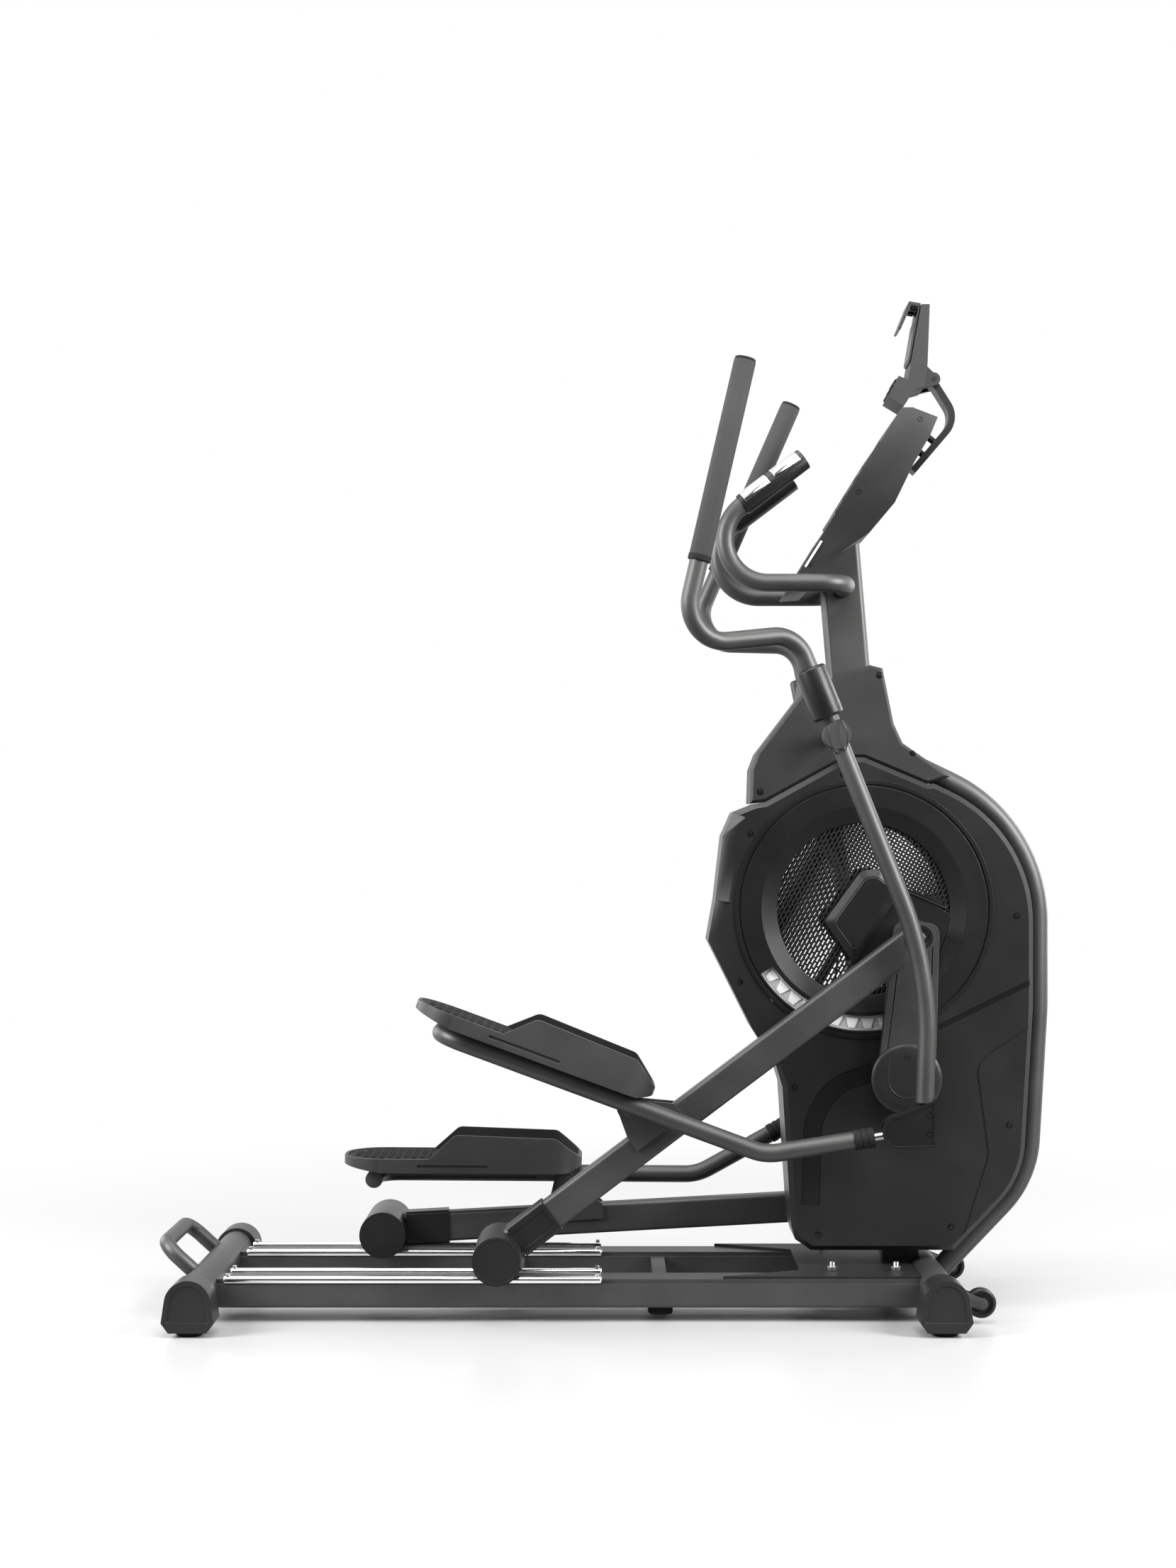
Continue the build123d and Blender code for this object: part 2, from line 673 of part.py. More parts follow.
def make_track_rods():
    """Bright rods with rounded ends that lie on the rails' shoulders."""
    rod = extrude(Plane.YZ.offset(ROD_REAR_X) * Circle(ROD_DIAMETER / 2), amount=ROD_LENGTH)
    rod = chamfer(rod.edges(), ROD_DIAMETER / 6)
    return Compound(children=[Pos(0, y, ROD_Z) * rod for y in rod_places()])


def make_carry_handle():
    """The lifting loop welded to the rear stabilizer."""
    points = [
        (REAR_STABILIZER_X, -HANDLE_HALF_WIDTH, STABILIZER_Z),
        (HANDLE_REAR_X, -HANDLE_HALF_WIDTH, HANDLE_Z),
        (HANDLE_REAR_X, HANDLE_HALF_WIDTH, HANDLE_Z),
        (REAR_STABILIZER_X, HANDLE_HALF_WIDTH, STABILIZER_Z),
    ]
    loop = bent_tube(points, HANDLE_BEND, HANDLE_TUBE, TUBE_WALL) - stabilizer_clearance()
    return loop.solids().sort_by(SortBy.VOLUME)[-1]


def make_front_stabilizer():
    """The front cross tube, with a welded fork and axle for each transport wheel."""
    reach = polygon([
        (FRONT_STABILIZER_X, STABILIZER_Z + STABILIZER_DIAMETER / 4),
        (FRONT_STABILIZER_X, STABILIZER_Z - STABILIZER_DIAMETER / 4),
        (WHEEL_X, WHEEL_Z - WHEEL_AXLE_RADIUS * 2),
        (WHEEL_X, WHEEL_Z + WHEEL_AXLE_RADIUS * 2),
    ])
    reach += Pos(WHEEL_X, WHEEL_Z) * Circle(WHEEL_AXLE_RADIUS * 2)
    near = WHEEL_Y - WHEEL_WIDTH / 2 - 2 * SEAT_GAP
    far = WHEEL_Y + WHEEL_WIDTH / 2 + 2 * SEAT_GAP
    fork = side_plate(reach, near - WHEEL_FORK_THICKNESS, near)
    fork += side_plate(reach, far, far + WHEEL_FORK_THICKNESS)
    fork += cross_cylinder(WHEEL_X, WHEEL_Z, WHEEL_AXLE_RADIUS, near, far)
    hollow = STABILIZER_DIAMETER / 2 - STABILIZER_WALL
    fork -= cross_cylinder(FRONT_STABILIZER_X, STABILIZER_Z, hollow, 0, BASE_WIDTH)
    return make_stabilizer(FRONT_STABILIZER_X) + fork + left_of(fork)


def make_wheel():
    """Right-hand transport wheel, dished on both sides, with a bore on its axle."""
    near = WHEEL_Y - WHEEL_WIDTH / 2
    far = WHEEL_Y + WHEEL_WIDTH / 2
    wheel = cross_cylinder(WHEEL_X, WHEEL_Z, WHEEL_RADIUS, near, far)
    wheel = chamfer(wheel.edges(), WHEEL_RADIUS / 8)
    dish = Pos(WHEEL_X, WHEEL_Z) * (Circle(WHEEL_RADIUS * 0.7) - Circle(WHEEL_AXLE_RADIUS * 2))
    sunk = WHEEL_WIDTH / 5
    wheel -= side_plate(dish, far - sunk, far) + side_plate(dish, near, near + sunk)
    return wheel - cross_cylinder(WHEEL_X, WHEEL_Z, WHEEL_AXLE_RADIUS + RUNNING_GAP, near, far)


# Spine tube, mast and the frame of the drive

def mast_x(z):
    """Middle of the leaning mast at a height."""
    return MAST_MID_X - (z - MAST_MID_Z) * math.tan(math.radians(MAST_LEAN))


def mast_block(gap):
    """The mast's outer form, grown by a gap on each side."""
    length = (MAST_TOP_Z - MAST_BOTTOM_Z) / math.cos(math.radians(MAST_LEAN))
    section = RectangleRounded(MAST_DEPTH + 2 * gap, MAST_WIDTH + 2 * gap, MAST_CORNER)
    foot = Pos(mast_x(MAST_BOTTOM_Z), 0, MAST_BOTTOM_Z) * Rot(0, -MAST_LEAN, 0)
    block = foot * extrude(Plane.XY.offset(-gap) * section, amount=length + 2 * gap)
    return split(block, bisect_by=console_plane(0).offset(gap - MAST_SETBACK), keep=Keep.BOTTOM)


def make_mast():
    """The leaning post, with the swing arms' shaft and its housing welded behind it."""
    length = (MAST_TOP_Z - MAST_BOTTOM_Z) / math.cos(math.radians(MAST_LEAN))
    hollow = RectangleRounded(MAST_DEPTH - 2 * TUBE_WALL, MAST_WIDTH - 2 * TUBE_WALL, MAST_CORNER - TUBE_WALL)
    foot = Pos(mast_x(MAST_BOTTOM_Z), 0, MAST_BOTTOM_Z) * Rot(0, -MAST_LEAN, 0)
    mast = mast_block(0)
    reach = NECK_HALF - COVER_WALL - 2 * SEAT_GAP
    housing = cross_cylinder(SWING_X, SWING_Z, PIVOT_HOUSING_RADIUS, -reach, reach)
    web = Pos((SWING_X + mast_x(SWING_Z)) / 2, 0, SWING_Z)
    housing += web * Box(mast_x(SWING_Z) - SWING_X, MAST_WIDTH, PIVOT_HOUSING_RADIUS)
    mast += housing
    mast -= foot * extrude(hollow, amount=length)
    axle_reach = SWING_ARM_Y + SWING_HUB_WIDTH / 2 - 2 * SEAT_GAP
    mast += cross_cylinder(SWING_X, SWING_Z, SWING_AXLE_RADIUS, -axle_reach, axle_reach)
    cross = PULSE_TUBE / 2 + SEAT_GAP
    return mast - cross_cylinder(mast_x(PULSE_Z), PULSE_Z, cross, -MAST_WIDTH, MAST_WIDTH)


def spine_points():
    """Corners of the spine tube's centre line in the middle plane."""
    slope = math.tan(math.radians(SPINE_UPPER_ANGLE))
    top_x = mast_x(SWING_Z)
    return [
        (top_x, SPINE_KNEE_Z + (SPINE_FRONT_X - top_x) * slope),
        (SPINE_FRONT_X, SPINE_KNEE_Z),
        (SPINE_FRONT_X, SPINE_BACK_Z),
        (SPINE_LOW_X, SPINE_LOW_Z),
        (FRONT_STABILIZER_X + STABILIZER_DIAMETER / 4, STABILIZER_Z - STABILIZER_DIAMETER / 4),
    ]


SPINE_BENDS = [SPINE_UPPER_BEND, SPINE_BACK_BEND, SPINE_LOW_BEND]


def make_spine(diameter, wall=0):
    """The bent tube that carries the mast in front of the shroud."""
    points = [(x, 0, z) for x, z in spine_points()]
    return bent_tube(points, SPINE_BENDS, diameter, wall)


def make_spine_tube():
    """The spine, coped to the mast above and to the front stabilizer below."""
    tube = make_spine(SPINE_DIAMETER, TUBE_WALL) - mast_block(SEAT_GAP) - stabilizer_clearance()
    return tube.solids().sort_by(SortBy.VOLUME)[-1]


def drive_necks(gap):
    """The two bars that run forward through the covers to the spine tube, grown by a gap."""
    width = STRUT_WIDTH + 2 * gap
    height = STRUT_HEIGHT + 2 * gap
    strut = Box(SPINE_FRONT_X - CRANK_X, width, height)
    neck = Box(SPINE_FRONT_X - FORK_FRONT_X, width, height)
    strut_x = (CRANK_X + SPINE_FRONT_X) / 2
    neck_x = (FORK_FRONT_X + SPINE_FRONT_X) / 2
    return Pos(strut_x, 0, CRANK_Z) * strut + Pos(neck_x, 0, RING_Z) * neck


def make_drive_frame():
    """Post, bearing shell, strut and the fork that holds the flywheel's axle."""
    post_height = CRANK_Z - PLATE_TOP_Z
    tube = Rectangle(POST_DEPTH, POST_WIDTH)
    tube -= Rectangle(POST_DEPTH - 2 * POST_WALL, POST_WIDTH - 2 * POST_WALL)
    frame = extrude(Plane.XY.offset(PLATE_TOP_Z) * Pos(CRANK_X, 0) * tube, amount=post_height)
    frame += drive_necks(0)
    frame += cross_cylinder(CRANK_X, CRANK_Z, SHELL_RADIUS, -POST_WIDTH / 2, SHELL_REACH)
    frame -= make_spine(SPINE_DIAMETER + 2 * SEAT_GAP) + stabilizer_clearance()
    fork_rear = RING_X - FORK_REACH
    plate = Pos((fork_rear + FORK_FRONT_X) / 2, RING_Z) * Rectangle(FORK_FRONT_X - fork_rear, FORK_HEIGHT)
    pin_x, pin_z = brake_pin()
    lug = Pos(pin_x, pin_z) * Circle(BRAKE_PIN_RADIUS * 2)
    lug += Pos(pin_x, (pin_z + RING_Z) / 2) * Rectangle(BRAKE_PIN_RADIUS * 4, RING_Z - pin_z)
    fork = side_plate(plate + lug, FORK_RIGHT_Y, FORK_RIGHT_Y + FORK_THICKNESS)
    fork += side_plate(plate, -FORK_LEFT_Y - FORK_THICKNESS, -FORK_LEFT_Y)
    bridge_rear = RING_X + FLYWHEEL_RADIUS + BRAKE_GAP + 2 * BRAKE_THICKNESS
    bridge_x = (bridge_rear + FORK_FRONT_X) / 2
    bridge = Pos(bridge_x, RING_Z) * Rectangle(FORK_FRONT_X - bridge_rear, FORK_HEIGHT)
    fork += side_plate(bridge, -FORK_LEFT_Y, FORK_RIGHT_Y)
    fork += cross_cylinder(pin_x, pin_z, BRAKE_PIN_RADIUS, -FLYWHEEL_Y - BRAKE_WIDTH / 2, FORK_RIGHT_Y)
    brace = Pos(bridge_x, (CRANK_Z + RING_Z) / 2)
    fork += side_plate(brace * Rectangle(STRUT_WIDTH, RING_Z - CRANK_Z), -FORK_THICKNESS, FORK_THICKNESS)
    frame += fork
    frame -= cross_cylinder(CRANK_X, CRANK_Z, CRANK_AXLE_RADIUS + RUNNING_GAP, -BASE_WIDTH, BASE_WIDTH)
    frame -= cross_cylinder(RING_X, RING_Z, FLYWHEEL_AXLE_RADIUS + RUNNING_GAP, -BASE_WIDTH, BASE_WIDTH)
    return frame


def make_flywheel_axle():
    """The fixed axle across the fork."""
    return cross_cylinder(
        RING_X, RING_Z, FLYWHEEL_AXLE_RADIUS, -FORK_LEFT_Y - FORK_THICKNESS, FORK_RIGHT_Y + FORK_THICKNESS
    )


def make_flywheel():
    """Heavy rim on spokes, with the small belt pulley on its hub."""
    centre = Pos(RING_X, RING_Z)
    right = -FLYWHEEL_Y + FLYWHEEL_WIDTH / 2
    left = -FLYWHEEL_Y - FLYWHEEL_WIDTH / 2
    rim = Circle(FLYWHEEL_RADIUS) - Circle(FLYWHEEL_RADIUS - FLYWHEEL_RIM)
    wheel = side_plate(centre * rim, left, right)
    spoke_length = FLYWHEEL_RADIUS - FLYWHEEL_RIM / 2
    spoke = Pos(spoke_length / 2, 0) * Rectangle(spoke_length, FLYWHEEL_SPOKE_WIDTH)
    spokes = Sketch() + [Rot(0, 0, 360 / FLYWHEEL_SPOKES * i) * spoke for i in range(FLYWHEEL_SPOKES)]
    half_spoke = FLYWHEEL_SPOKE_THICKNESS / 2
    wheel += side_plate(centre * spokes, -FLYWHEEL_Y - half_spoke, -FLYWHEEL_Y + half_spoke)
    wheel += cross_cylinder(RING_X, RING_Z, FLYWHEEL_HUB_RADIUS, left, right)
    wheel += cross_cylinder(RING_X, RING_Z, SMALL_PULLEY_RADIUS, -PULLEY_Y - PULLEY_WIDTH, left)
    bore = FLYWHEEL_AXLE_RADIUS + RUNNING_GAP
    return wheel - cross_cylinder(RING_X, RING_Z, bore, -BASE_WIDTH, BASE_WIDTH)


def pulley_outline(low_radius, high_radius, distance):
    """The outline round two circles, the first at zero and the second straight above it."""
    tilt = math.asin((low_radius - high_radius) / distance)
    across, up = math.cos(tilt), math.sin(tilt)
    low_right = (low_radius * across, low_radius * up)
    high_right = (high_radius * across, distance + high_radius * up)
    high_left = (-high_right[0], high_right[1])
    low_left = (-low_right[0], low_right[1])
    top = ThreePointArc(high_right, (0, distance + high_radius), high_left)
    bottom = ThreePointArc(low_left, (0, -low_radius), low_right)
    return make_face(Line(low_right, high_right) + top + Line(high_left, low_left) + bottom)


def make_belt():
    """The belt round both pulleys, a hair clear of them."""
    lean = math.atan2(RING_X - CRANK_X, RING_Z - CRANK_Z)
    distance = math.hypot(RING_X - CRANK_X, RING_Z - CRANK_Z)
    big = PULLEY_RADIUS + SEAT_GAP
    small = SMALL_PULLEY_RADIUS + SEAT_GAP
    band = pulley_outline(big + BELT_THICKNESS, small + BELT_THICKNESS, distance)
    band -= pulley_outline(big, small, distance)
    outline = Pos(CRANK_X, CRANK_Z) * Rot(0, 0, -math.degrees(lean)) * band
    inset = (PULLEY_WIDTH - BELT_WIDTH) / 2
    return side_plate(outline, -PULLEY_Y - PULLEY_WIDTH + inset, -PULLEY_Y - inset)


def brake_pin():
    """Place of the brake's pivot pin, beside the front of the flywheel's rim."""
    reach = FLYWHEEL_RADIUS + BRAKE_GAP + BRAKE_THICKNESS / 2
    turn = math.radians(BRAKE_START)
    return RING_X + reach * math.cos(turn), RING_Z + reach * math.sin(turn)


def make_brake():
    """The magnet shoe that swings towards and away from the flywheel's rim."""
    inner = FLYWHEEL_RADIUS + BRAKE_GAP
    outer = inner + BRAKE_THICKNESS
    pin_x, pin_z = brake_pin()
    shape = ring_sector(inner, outer, BRAKE_START - BRAKE_SPAN, BRAKE_SPAN)
    shape += Pos(pin_x, pin_z) * Circle((BRAKE_THICKNESS + BRAKE_GAP) / 2)
    brake = side_plate(shape, -FLYWHEEL_Y - BRAKE_WIDTH / 2, -FLYWHEEL_Y + BRAKE_WIDTH / 2)
    return brake - cross_cylinder(pin_x, pin_z, BRAKE_PIN_RADIUS + RUNNING_GAP, -BASE_WIDTH, BASE_WIDTH)


# Crank

def make_crank_axle():
    """The shaft that joins both crank arms."""
    return cross_cylinder(CRANK_X, CRANK_Z, CRANK_AXLE_RADIUS, -CRANK_INNER, CRANK_INNER)


def make_crank_pulley():
    """The large belt pulley, with a rim, a web with holes and a hub."""
    centre = Pos(CRANK_X, CRANK_Z)
    rim = Circle(PULLEY_RADIUS) - Circle(PULLEY_RADIUS - PULLEY_WIDTH)
    pulley = side_plate(centre * rim, -PULLEY_Y - PULLEY_WIDTH, -PULLEY_Y)
    web = Circle(PULLEY_RADIUS - PULLEY_WIDTH / 2)
    hole_ring = PULLEY_RADIUS * 0.55
    web -= [loc * Circle(PULLEY_RADIUS * 0.2) for loc in PolarLocations(hole_ring, PULLEY_HOLES)]
    middle = -PULLEY_Y - PULLEY_WIDTH / 2
    pulley += side_plate(centre * web, middle - PULLEY_WEB / 2, middle + PULLEY_WEB / 2)
    pulley += cross_cylinder(CRANK_X, CRANK_Z, CRANK_AXLE_RADIUS * 2, -PULLEY_Y - PULLEY_WIDTH, -PULLEY_Y)
    return pulley - cross_cylinder(CRANK_X, CRANK_Z, CRANK_AXLE_RADIUS + RUNNING_GAP, -BASE_WIDTH, BASE_WIDTH)


def crank_outline(shrink):
    """The tapered arm seen from the side, from the round root at zero up past the pin."""
    top = CRANK_RADIUS + CRANK_TIP_LENGTH - shrink
    tip = CRANK_TIP_HALF - shrink
    root = CRANK_ROOT_RADIUS - shrink
    arm = polygon([(-root, 0), (root, 0), (tip, top), (-tip, top)])
    arm = fillet(arm.vertices().group_by(Axis.Y)[-1], CRANK_TIP_CORNER - shrink / 2)
    return arm + Circle(root)


def make_crank_arm():
    """Right-hand arm pointing straight up from the origin, with a line sunk along its edge."""
    arm = side_plate(crank_outline(0), CRANK_INNER + SEAT_GAP, CRANK_OUTER)
    line = crank_outline(CRANK_LINE_INSET) - crank_outline(CRANK_LINE_INSET + CRANK_GROOVE)
    return arm - side_plate(line, CRANK_OUTER - CRANK_GROOVE, CRANK_OUTER)


def make_crank_arms():
    """Both arms, half a turn apart."""
    right = at_angle(CRANK_X, CRANK_Z, -CRANK_REST_ANGLE) * make_crank_arm()
    left = left_of(at_angle(CRANK_X, CRANK_Z, -CRANK_REST_ANGLE - 180) * make_crank_arm())
    return Compound(children=[right, left])


def make_crank_caps():
    """Discs that close the crank's hub, with the arm's sunk line carried round their centre."""
    start = CRANK_OUTER + SEAT_GAP / 3
    face = start + CRANK_CAP_THICKNESS
    disc = cross_cylinder(0, 0, CRANK_CAP_RADIUS, start, face)
    disc = chamfer(disc.edges().group_by(Axis.Y)[0], CRANK_CAP_THICKNESS / 3)
    line = SlotCenterPoint((0, CRANK_CAP_RADIUS), (0, 0), 2 * CRANK_CAP_LINE_RADIUS)
    line -= SlotCenterPoint((0, CRANK_CAP_RADIUS), (0, 0), 2 * (CRANK_CAP_LINE_RADIUS - CRANK_GROOVE))
    disc -= side_plate(line, face - CRANK_GROOVE, face)
    right = at_angle(CRANK_X, CRANK_Z, -CRANK_REST_ANGLE) * disc
    left = left_of(at_angle(CRANK_X, CRANK_Z, -CRANK_REST_ANGLE - 180) * disc)
    return Compound(children=[right, left])


# Ramp arm with its rollers, drawn from the roller axle along X

def make_roller_axle(place):
    """The axle between the end discs of the roller housing."""
    reach = ROLLER_HOUSING_WIDTH / 2 - ROLLER_HOUSING_WALL - SEAT_GAP
    return cross_cylinder(*place, ROLLER_AXLE_RADIUS, RAIL_Y - reach, RAIL_Y + reach)


def make_rollers(place):
    """Two wheels, one over each track rod."""
    rollers = []
    for y in (RAIL_Y - ROD_SPACING / 2, RAIL_Y + ROD_SPACING / 2):
        roller = cross_cylinder(*place, ROLLER_RADIUS, y - ROLLER_WIDTH / 2, y + ROLLER_WIDTH / 2)
        roller = chamfer(roller.edges(), ROLLER_WIDTH / 15)
        bore = ROLLER_AXLE_RADIUS + RUNNING_GAP
        rollers.append(roller - cross_cylinder(*place, bore, y - ROLLER_WIDTH, y + ROLLER_WIDTH))
    return Compound(children=rollers)


def arm_bar(grow, start, length):
    """A length of the ramp arm's outer form, grown by a gap."""
    section = RectangleRounded(RAMP_ARM_WIDTH + 2 * grow, RAMP_ARM_HEIGHT + 2 * grow, RAMP_ARM_CORNER)
    return extrude(Plane.YZ.offset(start) * Pos(-RAIL_Y, 0) * section, amount=length)


def make_ramp_arm():
    """The rectangular arm with its axle boss, crank boss and the two ears of the foot bar's hinge."""
    start = ROLLER_AXLE_RADIUS * 2
    arm = arm_bar(0, start, RAMP_ARM_LENGTH - start)
    inner_width = RAMP_ARM_WIDTH - 2 * RAMP_ARM_WALL
    inner_height = RAMP_ARM_HEIGHT - 2 * RAMP_ARM_WALL
    arm -= Pos(RAMP_ARM_LENGTH / 2, -RAIL_Y, 0) * Box(RAMP_ARM_LENGTH - 4 * start, inner_width, inner_height)
    boss_half = RAMP_ARM_WIDTH / 2
    arm += cross_cylinder(0, 0, ROLLER_AXLE_RADIUS * 2.2, RAIL_Y - boss_half, RAIL_Y + boss_half)
    boss_start = CRANK_OUTER + CRANK_PIN_GAP
    arm += cross_cylinder(RAMP_ARM_LENGTH, 0, CRANK_BOSS_RADIUS, boss_start, boss_start + CRANK_BOSS_LENGTH)
    ear = Pos(HINGE_ALONG, HINGE_RISE) * Circle(HINGE_EAR_RADIUS)
    half_height = RAMP_ARM_HEIGHT / 2
    ear += polygon([
        (HINGE_ALONG - HINGE_EAR_FOOT, 0),
        (HINGE_ALONG - HINGE_EAR_FOOT, half_height),
        (HINGE_ALONG - HINGE_EAR_RADIUS, HINGE_RISE),
        (HINGE_ALONG + HINGE_EAR_RADIUS, HINGE_RISE),
        (HINGE_ALONG + HINGE_EAR_FOOT * 2, half_height),
        (HINGE_ALONG + HINGE_EAR_FOOT * 2, 0),
    ])
    for inner in (RAIL_Y - boss_half - HINGE_EAR_THICKNESS, RAIL_Y + boss_half):
        arm += side_plate(ear, inner, inner + HINGE_EAR_THICKNESS)
    arm -= cross_cylinder(HINGE_ALONG, HINGE_RISE, HINGE_PIN_RADIUS + RUNNING_GAP, 0, BASE_WIDTH)
    return arm - cross_cylinder(0, 0, ROLLER_AXLE_RADIUS + RUNNING_GAP, 0, BASE_WIDTH)


def make_roller_housing():
    """The drum over both rollers, open below, with full end discs and a sleeve along the arm."""
    half = ROLLER_HOUSING_WIDTH / 2
    drum = cross_cylinder(0, 0, ROLLER_HOUSING_RADIUS, RAIL_Y - half, RAIL_Y + half)
    inside = ROLLER_HOUSING_RADIUS - ROLLER_HOUSING_WALL
    wall = half - ROLLER_HOUSING_WALL
    hollow = cross_cylinder(0, 0, inside, RAIL_Y - wall, RAIL_Y + wall)
    below = Pos(0, -RAIL_Y, -ROLLER_HOUSING_CUT - ROLLER_HOUSING_RADIUS)
    mouth = below * Box(4 * ROLLER_HOUSING_RADIUS, 2 * wall, 2 * ROLLER_HOUSING_RADIUS)
    mouth = Rot(0, ROLLER_HOUSING_MEAN_ANGLE, 0) * mouth
    sleeve_start = inside + ROLLER_HOUSING_WALL / 2
    sleeve = arm_bar(SEAT_GAP + RAMP_SLEEVE_WALL, sleeve_start, RAMP_SLEEVE_LENGTH)
    housing = drum - hollow - mouth + sleeve
    return housing - arm_bar(SEAT_GAP, 0, RAMP_ARM_LENGTH)


# Foot bar and pedal, drawn from the hinge with the pedal level

def link_joint():
    """The foot bar's joint to the swing arm, seen from the hinge."""
    turn = math.radians(LINK_ANGLE)
    return LINK_LENGTH * math.cos(turn), LINK_LENGTH * math.sin(turn)


def make_foot_bar():
    """The bent bar with its hinge pin, the saddle under the pedal and the rod end in front."""
    joint_x, joint_z = link_joint()
    run = math.hypot(joint_x - FOOT_BAR_BEND_X, joint_z - FOOT_BAR_RISE)
    dir_x = (joint_x - FOOT_BAR_BEND_X) / run
    dir_z = (joint_z - FOOT_BAR_RISE) / run
    end = (joint_x - ROD_END_LENGTH * dir_x, -FOOT_BAR_Y, joint_z - ROD_END_LENGTH * dir_z)
    points = [
        (FOOT_BAR_REAR, -FOOT_BAR_INNER_Y, FOOT_BAR_RISE),
        (FOOT_BAR_REAR, -FOOT_BAR_Y, FOOT_BAR_RISE),
        (FOOT_BAR_BEND_X, -FOOT_BAR_Y, FOOT_BAR_RISE),
        end,
    ]
    bar = bent_tube(points, [FOOT_BAR_REAR_BEND, FOOT_BAR_FRONT_BEND], FOOT_BAR_DIAMETER)
    bar += rod_between(end, (joint_x, -FOOT_BAR_Y, joint_z), ROD_END_SHANK)
    eye = ROD_END_THICKNESS / 2
    bar += cross_cylinder(joint_x, joint_z, ROD_END_RADIUS, FOOT_BAR_Y - eye, FOOT_BAR_Y + eye)
    ear_half = RAMP_ARM_WIDTH / 2 + HINGE_EAR_THICKNESS
    head_start = RAIL_Y - ear_half - SEAT_GAP - HINGE_EAR_THICKNESS
    bar += cross_cylinder(0, 0, HINGE_PIN_RADIUS, head_start, FOOT_BAR_Y)
    bar += cross_cylinder(0, 0, HINGE_PIN_RADIUS * 1.4, head_start, head_start + HINGE_EAR_THICKNESS)
    saddle_top = FOOT_BAR_RISE + FOOT_BAR_DIAMETER / 2
    saddle_width = RAMP_ARM_WIDTH - 4 * SEAT_GAP
    saddle = Box(HINGE_EAR_RADIUS * 3, saddle_width, saddle_top - HINGE_PIN_RADIUS / 2)
    bar += Pos(-HINGE_EAR_RADIUS, -RAIL_Y, (saddle_top + HINGE_PIN_RADIUS / 2) / 2) * saddle
    return bar


def pedal_plan(inset):
    """The pedal's outline from above: a broad round heel and a rounder nose."""
    length = PEDAL_NOSE - PEDAL_REAR - 2 * inset
    middle = (PEDAL_NOSE + PEDAL_REAR) / 2
    plan = Pos(middle, -RAIL_Y) * Rectangle(length, PEDAL_WIDTH - 2 * inset)
    heel = plan.vertices().group_by(Axis.X)[0]
    plan = fillet(heel, PEDAL_REAR_CORNER - inset)
    nose = plan.vertices().group_by(Axis.X)[-1]
    return fillet(nose, PEDAL_NOSE_CORNER - inset)


def make_pedal():
    """A moulded tray with a low lip at the heel and a guard round the toes."""
    low = FOOT_BAR_RISE + FOOT_BAR_DIAMETER / 2 + SEAT_GAP
    deck = low + PEDAL_THICKNESS
    lip = deck + PEDAL_LIP
    top = low + PEDAL_GUARD_HEIGHT
    slope = PEDAL_GUARD_HEIGHT - PEDAL_THICKNESS
    profile = polygon([
        (PEDAL_REAR, (low + deck) / 2),
        (PEDAL_REAR + PEDAL_REAR_CORNER, low),
        (PEDAL_NOSE - PEDAL_NOSE_CORNER / 2, low),
        (PEDAL_NOSE, (low + deck) / 2),
        (PEDAL_NOSE, lip),
        (PEDAL_NOSE - slope, top - PEDAL_WALL),
        (PEDAL_GUARD_REAR + slope, top),
        (PEDAL_GUARD_REAR, lip),
        (PEDAL_REAR, lip),
    ])
    crown = profile.vertices().filter_by(lambda v: v.Y > lip + PEDAL_LIP)
    profile = fillet(crown, PEDAL_NOSE_CORNER / 3)
    body = side_plate(profile, RAIL_Y - PEDAL_WIDTH, RAIL_Y + PEDAL_WIDTH)
    height = 2 * PEDAL_GUARD_HEIGHT
    body = body & extrude(pedal_plan(0), amount=height)
    body -= extrude(Plane.XY.offset(deck) * pedal_plan(PEDAL_WALL), amount=height)
    tread_start = PEDAL_REAR + PEDAL_REAR_CORNER
    pitch = (PEDAL_NOSE - PEDAL_NOSE_CORNER - tread_start) / (TREAD_RIBS - 1)
    rib = Box(TREAD_RIB_WIDTH, PEDAL_WIDTH - 6 * PEDAL_WALL, 2 * TREAD_RIB_HEIGHT)
    for i in range(TREAD_RIBS):
        body += Pos(tread_start + pitch * i, -RAIL_Y, deck) * rib
    slot = Box(PEDAL_SLOT_LENGTH, PEDAL_WIDTH, PEDAL_SLOT_HEIGHT)
    slot -= Box(PEDAL_SLOT_LENGTH, PEDAL_WIDTH - PEDAL_WALL, PEDAL_SLOT_HEIGHT)
    slot_x = PEDAL_GUARD_REAR + PEDAL_SLOT_LENGTH / 3
    return body - Pos(slot_x, -RAIL_Y, low + PEDAL_THICKNESS * 0.6) * slot


# Swing arm and handlebar, drawn from the pivot with the lower joint straight below

